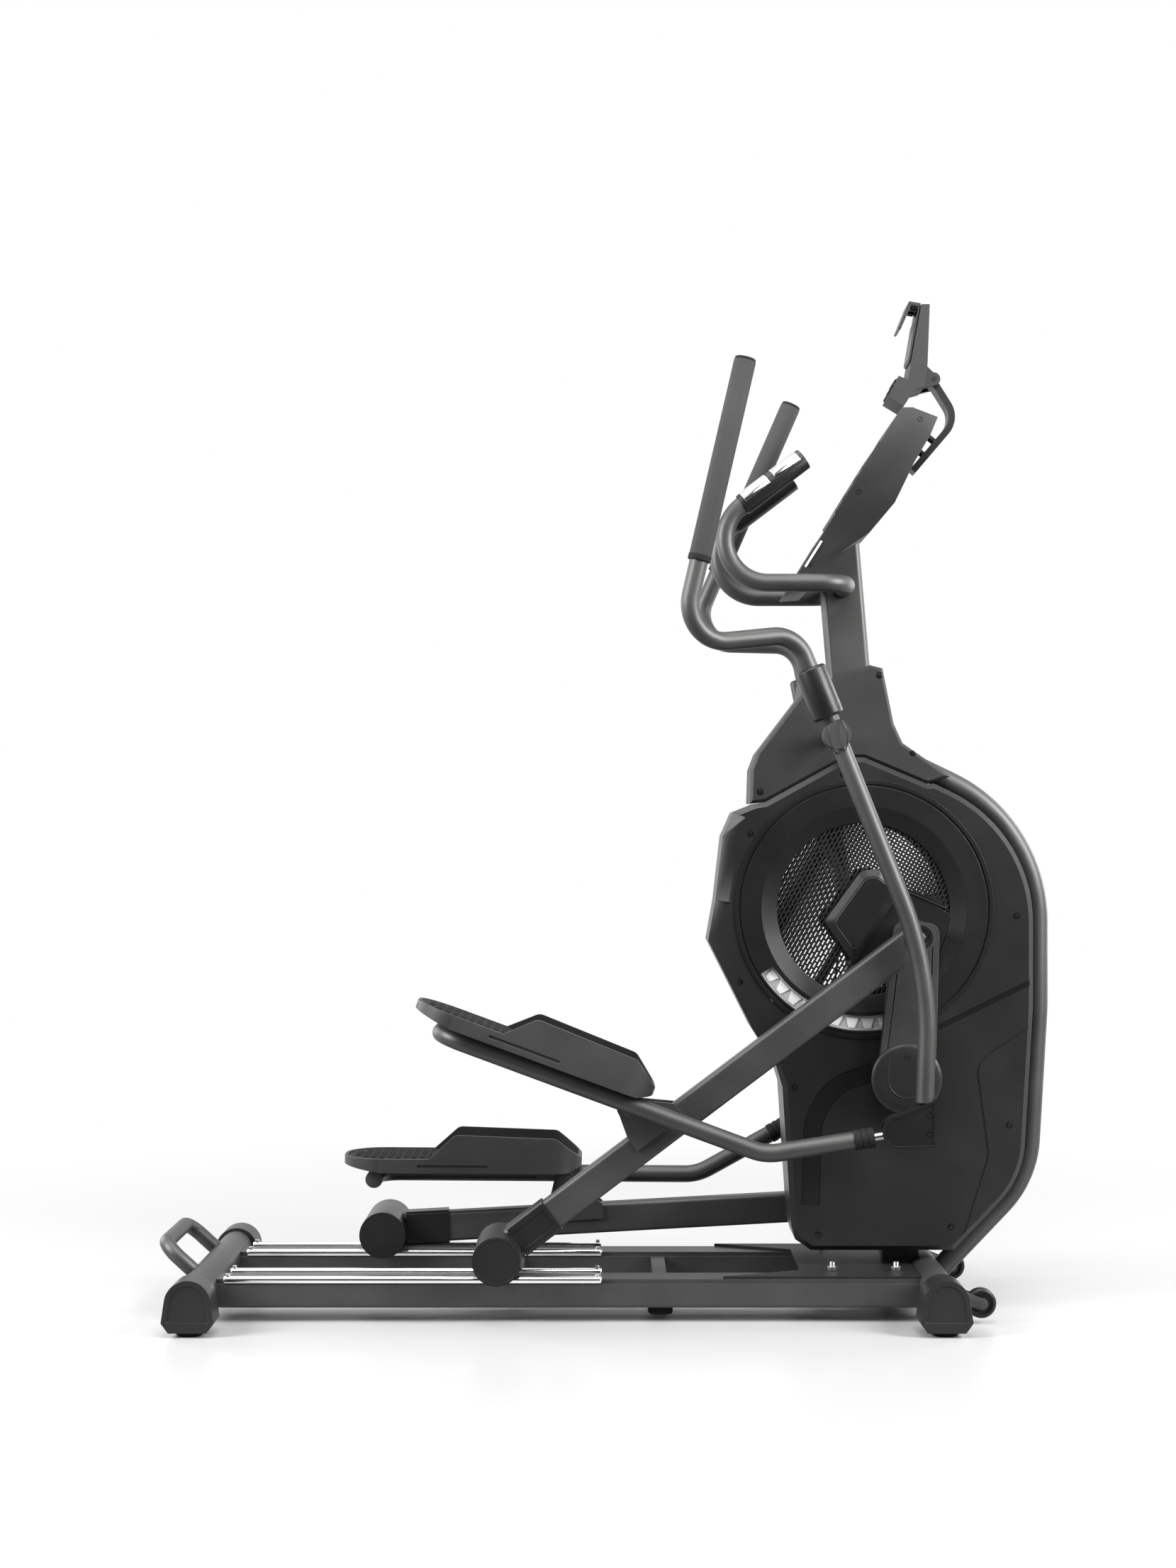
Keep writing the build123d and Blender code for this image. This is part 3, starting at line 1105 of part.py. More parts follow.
def make_swing_arm():
    """The lower tube with its hub on the pivot axle and the clevis of the foot bar's joint."""
    foot = (SWING_FOOT_X, -SWING_ARM_Y, SWING_FOOT_RISE - SWING_LENGTH)
    knee = (SWING_KNEE_X, -SWING_ARM_Y, SWING_KNEE_Z)
    arm = bent_tube([(0, -SWING_ARM_Y, 0), knee, foot], SWING_KNEE_BEND, SWING_TUBE)
    half_hub = SWING_HUB_WIDTH / 2
    arm += cross_cylinder(0, 0, SWING_HUB_RADIUS, SWING_ARM_Y - half_hub, SWING_ARM_Y + half_hub)
    nose = CLEVIS_NOSE_RADIUS
    outline = Pos(-CLEVIS_NOSE_SETBACK, CLEVIS_NOSE_SETBACK) * Circle(nose)
    outline += polygon([
        (-nose / 2, nose),
        (CLEVIS_TOP_X, CLEVIS_TOP_Z),
        (CLEVIS_SOLE_X, CLEVIS_SOLE_Z),
        (-nose / 4, CLEVIS_NOSE_SETBACK - nose),
    ])
    outline = Pos(0, -SWING_LENGTH) * outline
    half = CLEVIS_WIDTH / 2
    arm += side_plate(outline, SWING_ARM_Y - half, SWING_ARM_Y + half)
    slot_half = ROD_END_THICKNESS / 2 + CLEVIS_SLOT_GAP
    slot = Pos(0, -SWING_LENGTH) * Circle(ROD_END_RADIUS + CLEVIS_PLAY)
    slot += Pos(-2 * nose, -SWING_LENGTH) * Rectangle(4 * nose, 2 * (ROD_END_RADIUS + CLEVIS_PLAY))
    arm -= side_plate(slot, SWING_ARM_Y - slot_half, SWING_ARM_Y + slot_half)
    return arm - cross_cylinder(0, 0, SWING_AXLE_RADIUS + RUNNING_GAP, 0, SWING_ARM_Y + half_hub - SEAT_GAP)


def bar_direction(start, end):
    """Unit vector from one point to another."""
    return (Vector(*end) - Vector(*start)).normalized()


BAR_SHOULDER = (BAR_SHOULDER_X, -SWING_ARM_Y, BAR_SHOULDER_Z)
BAR_ELBOW = (BAR_ELBOW_X, -BAR_GRIP_Y, BAR_ELBOW_Z)
BAR_TOP = (BAR_TOP_X, -BAR_GRIP_Y, BAR_TOP_Z)
PIVOT_CENTRE = (0, -SWING_ARM_Y, 0)


def make_handlebar():
    """The upper tube that rises from the hub, turns back and outward, and ends in the grip."""
    up = bar_direction(PIVOT_CENTRE, BAR_SHOULDER)
    start = Vector(*PIVOT_CENTRE) + up * (SWING_HUB_RADIUS + SEAT_GAP)
    bends = [BAR_SHOULDER_BEND, BAR_ELBOW_BEND]
    bar = bent_tube([tuple(start), BAR_SHOULDER, BAR_ELBOW, BAR_TOP], bends, SWING_TUBE, TUBE_WALL)
    half_hub = SWING_HUB_WIDTH / 2
    hub = cross_cylinder(0, 0, SWING_HUB_RADIUS + SEAT_GAP, SWING_ARM_Y - half_hub, SWING_ARM_Y + half_hub)
    return bar - hub


def make_grip():
    """The foam grip over the bar's upper end, closed at the top."""
    up = bar_direction(BAR_ELBOW, BAR_TOP)
    top = Vector(*BAR_TOP) + up * GRIP_END
    low = top - up * GRIP_LENGTH
    grip = rod_between(tuple(low), tuple(top), GRIP_DIAMETER / 2)
    grip = chamfer(grip.edges(), GRIP_END / 3)
    bore_end = Vector(*BAR_TOP) + up * SEAT_GAP
    return grip - rod_between(tuple(low - up), tuple(bore_end), SWING_TUBE / 2 + SEAT_GAP)


def make_pivot_cover():
    """The sleeve over the tubes' joint and the ball over the hub."""
    up = bar_direction(PIVOT_CENTRE, BAR_SHOULDER)
    centre = Vector(*PIVOT_CENTRE)
    tube_gap = SWING_TUBE / 2 + SEAT_GAP
    tube = rod_between(tuple(centre - up * SWING_LENGTH / 2), tuple(centre + up * SWING_LENGTH / 2), tube_gap)
    half_hub = SWING_HUB_WIDTH / 2 + SEAT_GAP
    hub_start = SWING_ARM_Y - SWING_HUB_WIDTH
    hub = cross_cylinder(0, 0, SWING_HUB_RADIUS + SEAT_GAP, hub_start, SWING_ARM_Y + half_hub)
    ball = Pos(0, -SWING_ARM_Y, 0) * Sphere(BALL_RADIUS)
    low = centre + up * SLEEVE_START
    sleeve = rod_between(tuple(low), tuple(low + up * SLEEVE_LENGTH), SLEEVE_RADIUS)
    sleeve = chamfer(sleeve.edges(), SLEEVE_RADIUS / 7)
    return (ball + sleeve - tube - hub).solids().sort_by(SortBy.VOLUME)[-1]


# Shroud covers

def from_ring(*points):
    """Places of points that are measured from the ring's centre."""
    return [(RING_X + x, RING_Z + z) for x, z in points]


def shroud_outline():
    """The side cover's outline: bevelled tail, curved front along the spine tube."""
    rear = from_ring(
        COVER_CROWN, COVER_CROWN_BEVEL, COVER_SHOULDER, COVER_REAR, COVER_TAIL, COVER_BELLY, COVER_WAIST,
        COVER_WAIST_LOW, COVER_HEEL, COVER_HEEL_BEVEL, COVER_SOLE_REAR, COVER_SOLE_FRONT,
    )
    front = [(SPINE_LOW_X, SPINE_LOW_Z), (SPINE_FRONT_X, SPINE_BACK_Z), (SPINE_FRONT_X, SPINE_KNEE_Z)]
    top = from_ring(
        COVER_FRONT_TOP, PARTING_FRONT, PARTING_CROWN_FRONT, PARTING_CROWN_REAR, PARTING_RISE, PARTING_REAR,
    )
    spine = FilletPolyline(*spine_points(), radius=SPINE_BENDS)
    return largest(polygon(rear + front + top) - trace(spine, line_width=SPINE_DIAMETER + 2 * SEAT_GAP))


def tail_bevels(inset):
    """Wedges that slope the outer face off towards the tail's edges, moved in by a wall."""
    edge = from_ring(COVER_CROWN_BEVEL, COVER_SHOULDER, COVER_REAR, COVER_TAIL, COVER_BELLY, COVER_WAIST)
    face = SHROUD_HALF - inset
    profile = polygon([
        (inset + TAIL_BEVEL_WIDTH, 0),
        (-TAIL_BEVEL_WIDTH, -2 * TAIL_BEVEL_DEPTH),
        (-TAIL_BEVEL_WIDTH, TAIL_BEVEL_DEPTH),
        (inset + TAIL_BEVEL_WIDTH, TAIL_BEVEL_DEPTH),
    ])
    wedges = []
    for start, end in zip(edge, edge[1:]):
        run = Vector(end[0] - start[0], 0, end[1] - start[1])
        inward = run.cross(Vector(0, 1, 0))
        plane = Plane(origin=(start[0], -face, start[1]), x_dir=inward, z_dir=run)
        wedges.append(extrude(plane * profile, amount=run.length))
    return wedges


def cover_block(inset):
    """The side cover's outer form, drawn in by a wall."""
    outline = offset(shroud_outline(), amount=-inset) if inset else shroud_outline()
    block = side_plate(outline, SEAT_GAP / 2, SHROUD_HALF - inset)
    block = chamfer(block.faces().sort_by(Axis.Y)[0].outer_wire().edges(), COVER_BEVEL)
    return block - tail_bevels(inset)


def cover_reliefs():
    """Lines sunk in the side cover: the step under the ring, the swoosh at the crank, the front panel."""
    step = trace(Line(*from_ring(STEP_START, STEP_END)), line_width=STEP_WIDTH)
    corners = from_ring(SWOOSH_START, SWOOSH_CROWN, SWOOSH_KNEE, SWOOSH_END)
    swoosh = trace(FilletPolyline(*corners, radius=SWOOSH_BEND), line_width=SWOOSH_WIDTH)
    corners = from_ring(PANEL_TOP_FRONT, PANEL_TOP_REAR, PANEL_MIDDLE, PANEL_LOW)
    panel = trace(FilletPolyline(*corners, radius=PANEL_BEND), line_width=PANEL_LINE)
    face = SHROUD_HALF
    return [side_plate(line, face - RELIEF_DEPTH, face) for line in (step, swoosh, panel)]


def screw_wells(places, half):
    """Round wells for the screws, and the level of their floor."""
    floor = half - SCREW_WELL_DEPTH
    return [cross_cylinder(x, z, SCREW_WELL_RADIUS, floor, SHROUD_HALF) for x, z in from_ring(*places)]


def make_side_cover():
    """Right-hand cover: a shell with the ring opening and room for the crank's axle."""
    cover = cover_block(0) - cover_block(COVER_WALL)
    cover -= cover_reliefs()
    cover -= screw_wells(COVER_SCREWS, SHROUD_HALF)
    cover -= screw_wells([TAIL_SCREW], SHROUD_HALF - TAIL_BEVEL_DEPTH / 3)
    cover -= cross_cylinder(RING_X, RING_Z, BEZEL_RADIUS + SEAT_GAP, 0, SHROUD_HALF)
    cover -= cross_cylinder(CRANK_X, CRANK_Z, CRANK_AXLE_RADIUS * 2, 0, SHROUD_HALF)
    post = POST_DEPTH / 2 + SEAT_GAP
    sole = RING_Z + COVER_SOLE_REAR[1]
    foot = Pos(CRANK_X, 0, sole) * Box(2 * post, POST_WIDTH + 2 * SEAT_GAP, 4 * COVER_BEVEL)
    cover -= foot + drive_necks(SEAT_GAP)
    cover -= mast_block(SEAT_GAP)
    return cover.solids().sort_by(SortBy.VOLUME)[-1]


def neck_outline():
    """The neck cover's outline, from the side covers' top edge up to the mast."""
    lift = 2 * SEAT_GAP
    low = from_ring(
        NECK_TAIL, PARTING_REAR, PARTING_RISE, PARTING_CROWN_REAR, PARTING_CROWN_FRONT, PARTING_FRONT,
    )
    high = from_ring(
        NECK_NOSE, NECK_FRONT_KNEE, NECK_FRONT, NECK_TOP_FRONT, NECK_TOP, NECK_TOP_MID, NECK_TOP_REAR,
        NECK_STEP, NECK_REAR, NECK_REAR_LOW,
    )
    return polygon([(x, z + lift) for x, z in low] + high)


def neck_block(inset):
    """The neck cover's outer form, drawn in by a wall."""
    outline = offset(neck_outline(), amount=-inset) if inset else neck_outline()
    block = side_plate(outline, SEAT_GAP / 2, NECK_HALF - inset)
    return chamfer(block.faces().sort_by(Axis.Y)[0].outer_wire().edges(), NECK_BEVEL)


def make_neck_cover():
    """Right-hand neck cover round the swing pivot, the mast and the spine's top."""
    cover = neck_block(0) - neck_block(COVER_WALL)
    cover -= screw_wells(NECK_SCREWS, NECK_HALF)
    cover -= cross_cylinder(SWING_X, SWING_Z, SWING_AXLE_RADIUS + 2 * SEAT_GAP, 0, NECK_HALF)
    cover -= mast_block(SEAT_GAP)
    cover -= make_spine(SPINE_DIAMETER + 2 * SEAT_GAP)
    return cover.solids().sort_by(SortBy.VOLUME)[-1]


def ring_sector(inner, outer, start, span):
    """A slice of a flat ring about the ring's centre."""
    def at(radius, degrees):
        turn = math.radians(degrees)
        return RING_X + radius * math.cos(turn), RING_Z + radius * math.sin(turn)

    middle = start + span / 2
    end = start + span
    outside = ThreePointArc(at(outer, start), at(outer, middle), at(outer, end))
    inside = ThreePointArc(at(inner, end), at(inner, middle), at(inner, start))
    sides = Line(at(outer, end), at(inner, end)) + Line(at(inner, start), at(outer, start))
    return make_face(outside + sides + inside)


def make_bezels():
    """Dished rings round the grilles, each with a line near its rim and a window for its bright insert."""
    face = SHROUD_HALF + BEZEL_RISE
    back = SHROUD_HALF - BEZEL_DEPTH
    seat = back + BEZEL_RISE
    section = polygon([
        (BEZEL_INNER_RADIUS, -back),
        (BEZEL_RADIUS, -back),
        (BEZEL_RADIUS, -face),
        (BEZEL_LINE_RADIUS + BEZEL_LINE, -face),
        (BEZEL_LINE_RADIUS + BEZEL_LINE, -SHROUD_HALF),
        (BEZEL_LINE_RADIUS, -SHROUD_HALF),
        (BEZEL_LINE_RADIUS, -face),
        (BEZEL_STEP_RADIUS, -face),
        (BEZEL_INNER_RADIUS, -seat),
    ])
    ring = revolve(Pos(RING_X, 0, RING_Z) * section, axis=Axis((RING_X, 0, RING_Z), (0, 1, 0)))
    window = ring_sector(WINDOW_INNER_RADIUS, WINDOW_OUTER_RADIUS, WINDOW_START, WINDOW_SPAN)
    ring -= side_plate(window, seat, face)
    return Compound(children=[ring, left_of(ring)])


def make_window_inserts():
    """Bright plates with a row of wedges, sunk in the bezels' windows."""
    floor = SHROUD_HALF - BEZEL_DEPTH + BEZEL_RISE + SEAT_GAP / 3
    inner = WINDOW_INNER_RADIUS + SEAT_GAP
    outer = WINDOW_OUTER_RADIUS - SEAT_GAP
    side_gap = math.degrees(SEAT_GAP / inner)
    plate = ring_sector(inner, outer, WINDOW_START + side_gap, WINDOW_SPAN - 2 * side_gap)
    insert = side_plate(plate, floor, floor + COVER_WALL)
    pitch = WINDOW_SPAN / WINDOW_TEETH
    height = outer - inner - 2 * SEAT_GAP
    wedge = polygon([(-height / 3, 0), (height / 3, 0), (0, height)])
    for i in range(WINDOW_TEETH):
        turn = WINDOW_START + pitch * (i + 0.5)
        place = Pos(RING_X, RING_Z) * Rot(0, 0, turn - 90) * Pos(0, inner + SEAT_GAP)
        insert += side_plate(place * wedge, floor, floor + 2 * COVER_WALL)
    return Compound(children=[insert, left_of(insert)])


def hub_cover_outline():
    """The housing in front of the flywheel's hub, which widens into the ring's lower front."""
    front = BEZEL_INNER_RADIUS - SEAT_GAP
    block = polygon(from_ring(HUB_TAIL, HUB_CROWN_REAR, HUB_CROWN_FRONT, HUB_NECK, (front, 0), HUB_HEEL))
    sector_span = HUB_PANEL_END - HUB_PANEL_START
    return block + ring_sector(HUB_SHOULDER, front, HUB_PANEL_START, sector_span)


def make_grilles():
    """Perforated discs behind the bezels, with staggered rows of slanted slots."""
    face = Pos(RING_X, RING_Z) * Circle(GRILLE_RADIUS)
    slot = Rot(0, 0, GRILLE_SLOT_ANGLE) * SlotOverall(GRILLE_SLOT_LENGTH, GRILLE_SLOT_WIDTH)
    rows = int(GRILLE_RADIUS / GRILLE_PITCH_Z)
    columns = int(GRILLE_RADIUS / GRILLE_PITCH_X) + 1
    hub = offset(hub_cover_outline(), amount=GRILLE_MARGIN).faces()[0]
    slots = []
    for row in range(-rows, rows + 1):
        for column in range(-columns, columns + 1):
            x = (column + 0.5 * (row % 2)) * GRILLE_PITCH_X
            z = row * GRILLE_PITCH_Z
            inside_ring = math.hypot(x, z) < BEZEL_INNER_RADIUS - GRILLE_MARGIN
            if inside_ring and not hub.is_inside((RING_X + x, RING_Z + z, 0)):
                slots.append(Pos(RING_X + x, RING_Z + z) * slot)
    outer = SHROUD_HALF - BEZEL_DEPTH - SEAT_GAP / 3
    grille = side_plate(face - slots, outer - GRILLE_THICKNESS, outer)
    return Compound(children=[grille, left_of(grille)])


def make_hub_covers():
    """Housings on the grilles: a flat panel, and a raised block with sloped shoulders."""
    start = SHROUD_HALF - BEZEL_DEPTH
    panel = start + HUB_COVER_RISE
    end = SHROUD_HALF + BEZEL_RISE
    cover = side_plate(hub_cover_outline(), start, panel)
    block = polygon(from_ring(HUB_TAIL, HUB_CROWN_REAR, HUB_CROWN_FRONT, HUB_NECK, HUB_HEEL))
    raised = side_plate(block, panel, end)
    cover += chamfer(raised.faces().sort_by(Axis.Y)[0].edges(), HUB_SHOULDER - HUB_COVER_RISE)
    return Compound(children=[cover, left_of(cover)])


def make_cover_screws():
    """Heads of the screws that hold the covers' halves together, at the bottom of their wells."""
    tail_half = SHROUD_HALF - TAIL_BEVEL_DEPTH / 3
    heads = []
    for places, half in ((COVER_SCREWS, SHROUD_HALF), ([TAIL_SCREW], tail_half), (NECK_SCREWS, NECK_HALF)):
        floor = half - SCREW_WELL_DEPTH + SEAT_GAP / 3
        for x, z in from_ring(*places):
            head = cross_cylinder(x, z, SCREW_RADIUS, floor, floor + SCREW_HEAD)
            heads += [head, left_of(head)]
    return Compound(children=heads)


# Console, pulse handlebar and tablet holder

def console_direction():
    """Unit vector up along the console's face."""
    return Vector(CONSOLE_CROWN_REACH, 0, CONSOLE_CROWN_RISE).normalized()


def console_low():
    """The console's low edge, behind the pulse handlebar."""
    return Vector(mast_x(PULSE_Z) - CONSOLE_SETBACK, 0, PULSE_Z - CONSOLE_DROP)


def from_crown(*points):
    """Places of points that are measured from the console's crown."""
    low = console_low()
    crown_x = low.X + CONSOLE_CROWN_REACH
    crown_z = low.Z + CONSOLE_CROWN_RISE
    return [(crown_x + x, crown_z + z) for x, z in points]


def console_plane(along):
    """A plane on the console's face, at a distance up from its low edge, looking at the user."""
    up = console_direction()
    return Plane(origin=console_low() + up * along, x_dir=(0, -1, 0), z_dir=Vector(-up.Z, 0, up.X))


def console_block(inset):
    """The console's outer form, drawn in by a wall: a leaning wedge, narrower at the pulse handlebar."""
    low = console_low()
    corners = [(0, 0), (CONSOLE_CROWN_REACH, CONSOLE_CROWN_RISE)] + CONSOLE_BACK
    outline = polygon([(low.X + x, low.Z + z) for x, z in corners])
    half = CONSOLE_TOP_HALF
    waist = low.Z + CONSOLE_DROP + PULSE_TUBE
    taper_z = low.Z + CONSOLE_TAPER_RISE
    bottom = low.Z - PULSE_TUBE
    top = low.Z + CONSOLE_CROWN_RISE + PULSE_TUBE
    front = polygon([
        (-CONSOLE_LOW_HALF, bottom),
        (CONSOLE_LOW_HALF, bottom),
        (CONSOLE_LOW_HALF, waist),
        (half, taper_z),
        (half, top),
        (-half, top),
        (-half, taper_z),
        (-CONSOLE_LOW_HALF, waist),
    ])
    if inset:
        outline = offset(outline, amount=-inset)
        front = offset(front, amount=-inset)
    through = extrude(Plane.YZ.offset(REAR_STABILIZER_X) * front, amount=2 * STABILIZER_SPACING)
    return side_plate(outline, -half, half) & through


def make_console():
    """The hollow housing with its display pocket, key wells and the pocket for the mast's top."""
    face = console_plane(SCREEN_ALONG)
    pane = Rectangle(SCREEN_WIDTH + 2 * SEAT_GAP, SCREEN_HEIGHT + 2 * SEAT_GAP)
    pocket = extrude(face * pane, amount=-SCREEN_THICKNESS - SEAT_GAP)
    cup = extrude(face * offset(pane, amount=CONSOLE_WALL), amount=-SCREEN_THICKNESS - 2 * CONSOLE_WALL)
    wells = []
    bosses = []
    for x in button_places():
        centre = console_plane(BUTTON_ALONG) * Pos(x, 0)
        wells.append(extrude(centre * Circle(BUTTON_RADIUS + SEAT_GAP), amount=-BUTTON_HEIGHT - SEAT_GAP))
        boss = centre * Circle(BUTTON_RADIUS + CONSOLE_WALL)
        bosses.append(extrude(boss, amount=-BUTTON_HEIGHT - CONSOLE_WALL))
    block = console_block(0)
    housing = block - (console_block(CONSOLE_WALL) - cup - bosses)
    housing -= [pocket] + wells
    cross = PULSE_TUBE / 2 + SEAT_GAP
    housing -= cross_cylinder(mast_x(PULSE_Z), PULSE_Z, cross, -CONSOLE_TOP_HALF, CONSOLE_TOP_HALF)
    housing -= mast_block(SEAT_GAP)
    return housing.solids().sort_by(SortBy.VOLUME)[-1]


def button_places():
    """Places of the keys along the console's width."""
    return (-BUTTON_SPACING / 2, BUTTON_SPACING / 2)


def make_screen():
    """The display's window, flush in its pocket."""
    pane = console_plane(SCREEN_ALONG) * Rectangle(SCREEN_WIDTH, SCREEN_HEIGHT)
    return extrude(pane, amount=-SCREEN_THICKNESS)


def make_button(x):
    """A key that stands above its well by its own travel."""
    cap = console_plane(BUTTON_ALONG) * Pos(x, 0) * Circle(BUTTON_RADIUS)
    return extrude(cap, amount=-BUTTON_HEIGHT + BUTTON_TRAVEL) + extrude(cap, amount=BUTTON_TRAVEL)


def pulse_line():
    """Corner and end of the right-hand pulse grip's straight run."""
    cross_x = mast_x(PULSE_Z)
    corner = Vector(cross_x - PULSE_REACH, -PULSE_Y, PULSE_Z)
    return corner, Vector(cross_x - PULSE_END_SETBACK, -PULSE_Y, PULSE_Z + PULSE_END_RISE)


def make_pulse_handlebar():
    """One tube from grip to grip, crossing through the mast."""
    corner, end = pulse_line()
    cross_x = mast_x(PULSE_Z)
    points = [
        tuple(end),
        tuple(corner),
        (cross_x, -PULSE_Y, PULSE_Z),
        (cross_x, PULSE_Y, PULSE_Z),
        (corner.X, PULSE_Y, corner.Z),
        (end.X, PULSE_Y, end.Z),
    ]
    bends = [PULSE_LOOP_BEND, PULSE_CROSS_BEND, PULSE_CROSS_BEND, PULSE_LOOP_BEND]
    return bent_tube(points, bends, PULSE_TUBE, TUBE_WALL)


def make_pulse_grips():
    """Grips over the bar's ends, each with two contact plates let into it."""
    corner, end = pulse_line()
    up = (end - corner).normalized()
    top = end + up * GRIP_END
    low = top - up * PULSE_GRIP_LENGTH
    grip = rod_between(tuple(low), tuple(top), PULSE_GRIP_DIAMETER / 2)
    grip -= rod_between(tuple(low - up), tuple(end + up * SEAT_GAP), PULSE_TUBE / 2 + SEAT_GAP)
    return Compound(children=[grip, left_of(grip)])


def make_pulse_plates():
    """Bright contact plates round the user's side of each grip."""
    corner, end = pulse_line()
    up = (end - corner).normalized()
    inner = PULSE_GRIP_DIAMETER / 2 + SEAT_GAP / 3
    arc = Circle(inner + PULSE_PLATE_THICKNESS) - Circle(inner)
    arc -= Pos(0, -PULSE_GRIP_DIAMETER) * Rectangle(2 * PULSE_GRIP_DIAMETER, 2 * PULSE_GRIP_DIAMETER)
    plates = []
    for share in (0.06, 0.55):
        start = end + up * GRIP_END - up * (PULSE_GRIP_LENGTH * share + PULSE_PLATE_LENGTH)
        plane = Plane(origin=start, x_dir=(0, 1, 0), z_dir=up)
        plate = extrude(plane * arc, amount=PULSE_PLATE_LENGTH)
        plates += [plate, left_of(plate)]
    return Compound(children=plates)


def make_strap():
    """The bent bracket behind the console, with the knuckle and pin of the tablet holder."""
    pin, knee, foot = from_crown(STRAP_PIN, STRAP_KNEE, STRAP_FOOT)
    path = FilletPolyline(foot, knee, pin, radius=STRAP_BEND)
    half = STRAP_WIDTH / 2
    band = side_plate(trace(path, line_width=STRAP_THICKNESS), -half, half)
    rise = Vector(knee[0] - foot[0], 0, knee[1] - foot[1])
    inward = Vector(-rise.Z, 0, rise.X).normalized()
    for share in (0.3, 0.55):
        start = Vector(foot[0], 0, foot[1]) + rise * share
        band += rod_between(tuple(start), tuple(start + inward * 3 * STRAP_THICKNESS), STRAP_THICKNESS / 2)
    band += cross_cylinder(*pin, STRAP_THICKNESS, -half, half)
    lug = SEAT_GAP + KNUCKLE_LUG
    band += cross_cylinder(*pin, KNUCKLE_PIN_RADIUS, -half - lug, half + lug)
    return (band - console_block(0)).solids().sort_by(SortBy.VOLUME)[-1]


def make_holder():
    """The tablet holder's body with its lower jaw and two lugs on the strap's pin."""
    outline = polygon(from_crown(
        HOLDER_TOP_BACK, HOLDER_TOP, HOLDER_SEAT, HOLDER_LIP_TOP, HOLDER_LIP, HOLDER_LIP_LOW, HOLDER_HEEL,
        HOLDER_BACK_LOW, HOLDER_BACK,
    ))
    pin, heel, back = from_crown(STRAP_PIN, HOLDER_HEEL, HOLDER_BACK)
    knuckle = STRAP_THICKNESS
    lug = Pos(*pin) * Circle(knuckle)
    lug += polygon([heel, (pin[0], pin[1] - knuckle), (pin[0] + knuckle, pin[1]), back])
    inner = STRAP_WIDTH / 2 + SEAT_GAP
    body = side_plate(outline, -HOLDER_WIDTH / 2, HOLDER_WIDTH / 2)
    body -= cross_cylinder(*pin, knuckle + 4 * SEAT_GAP, -inner, inner)
    body += side_plate(lug, inner, inner + KNUCKLE_LUG) + side_plate(lug, -inner - KNUCKLE_LUG, -inner)
    return body - cross_cylinder(*pin, KNUCKLE_PIN_RADIUS + RUNNING_GAP, -BASE_WIDTH, BASE_WIDTH)


def make_jaw():
    """The sliding upper jaw: a runner on the holder's front face with a hook at its top."""
    (low_x, low_z), (top_x, top_z) = from_crown(HOLDER_SEAT, HOLDER_TOP)
    length = math.hypot(top_x - low_x, top_z - low_z)
    lean = math.degrees(math.atan2(top_z - low_z, top_x - low_x))
    seat = SEAT_GAP / 3
    top = length + JAW_LIP
    hook = length - JAW_HOOK_LENGTH
    outline = polygon([
        (length / 4, seat),
        (top, seat),
        (top, JAW_DEPTH),
        (hook, JAW_HOOK_DEPTH),
        (hook, JAW_HOOK_DEPTH - JAW_HOOK_THICKNESS),
        (length - JAW_RUNNER, JAW_DEPTH - JAW_HOOK_THICKNESS),
        (length - JAW_RUNNER, seat + JAW_RUNNER),
        (length / 4, seat + JAW_RUNNER),
    ])
    return side_plate(Pos(low_x, low_z) * Rot(0, 0, lean) * outline, -JAW_WIDTH / 2, JAW_WIDTH / 2)


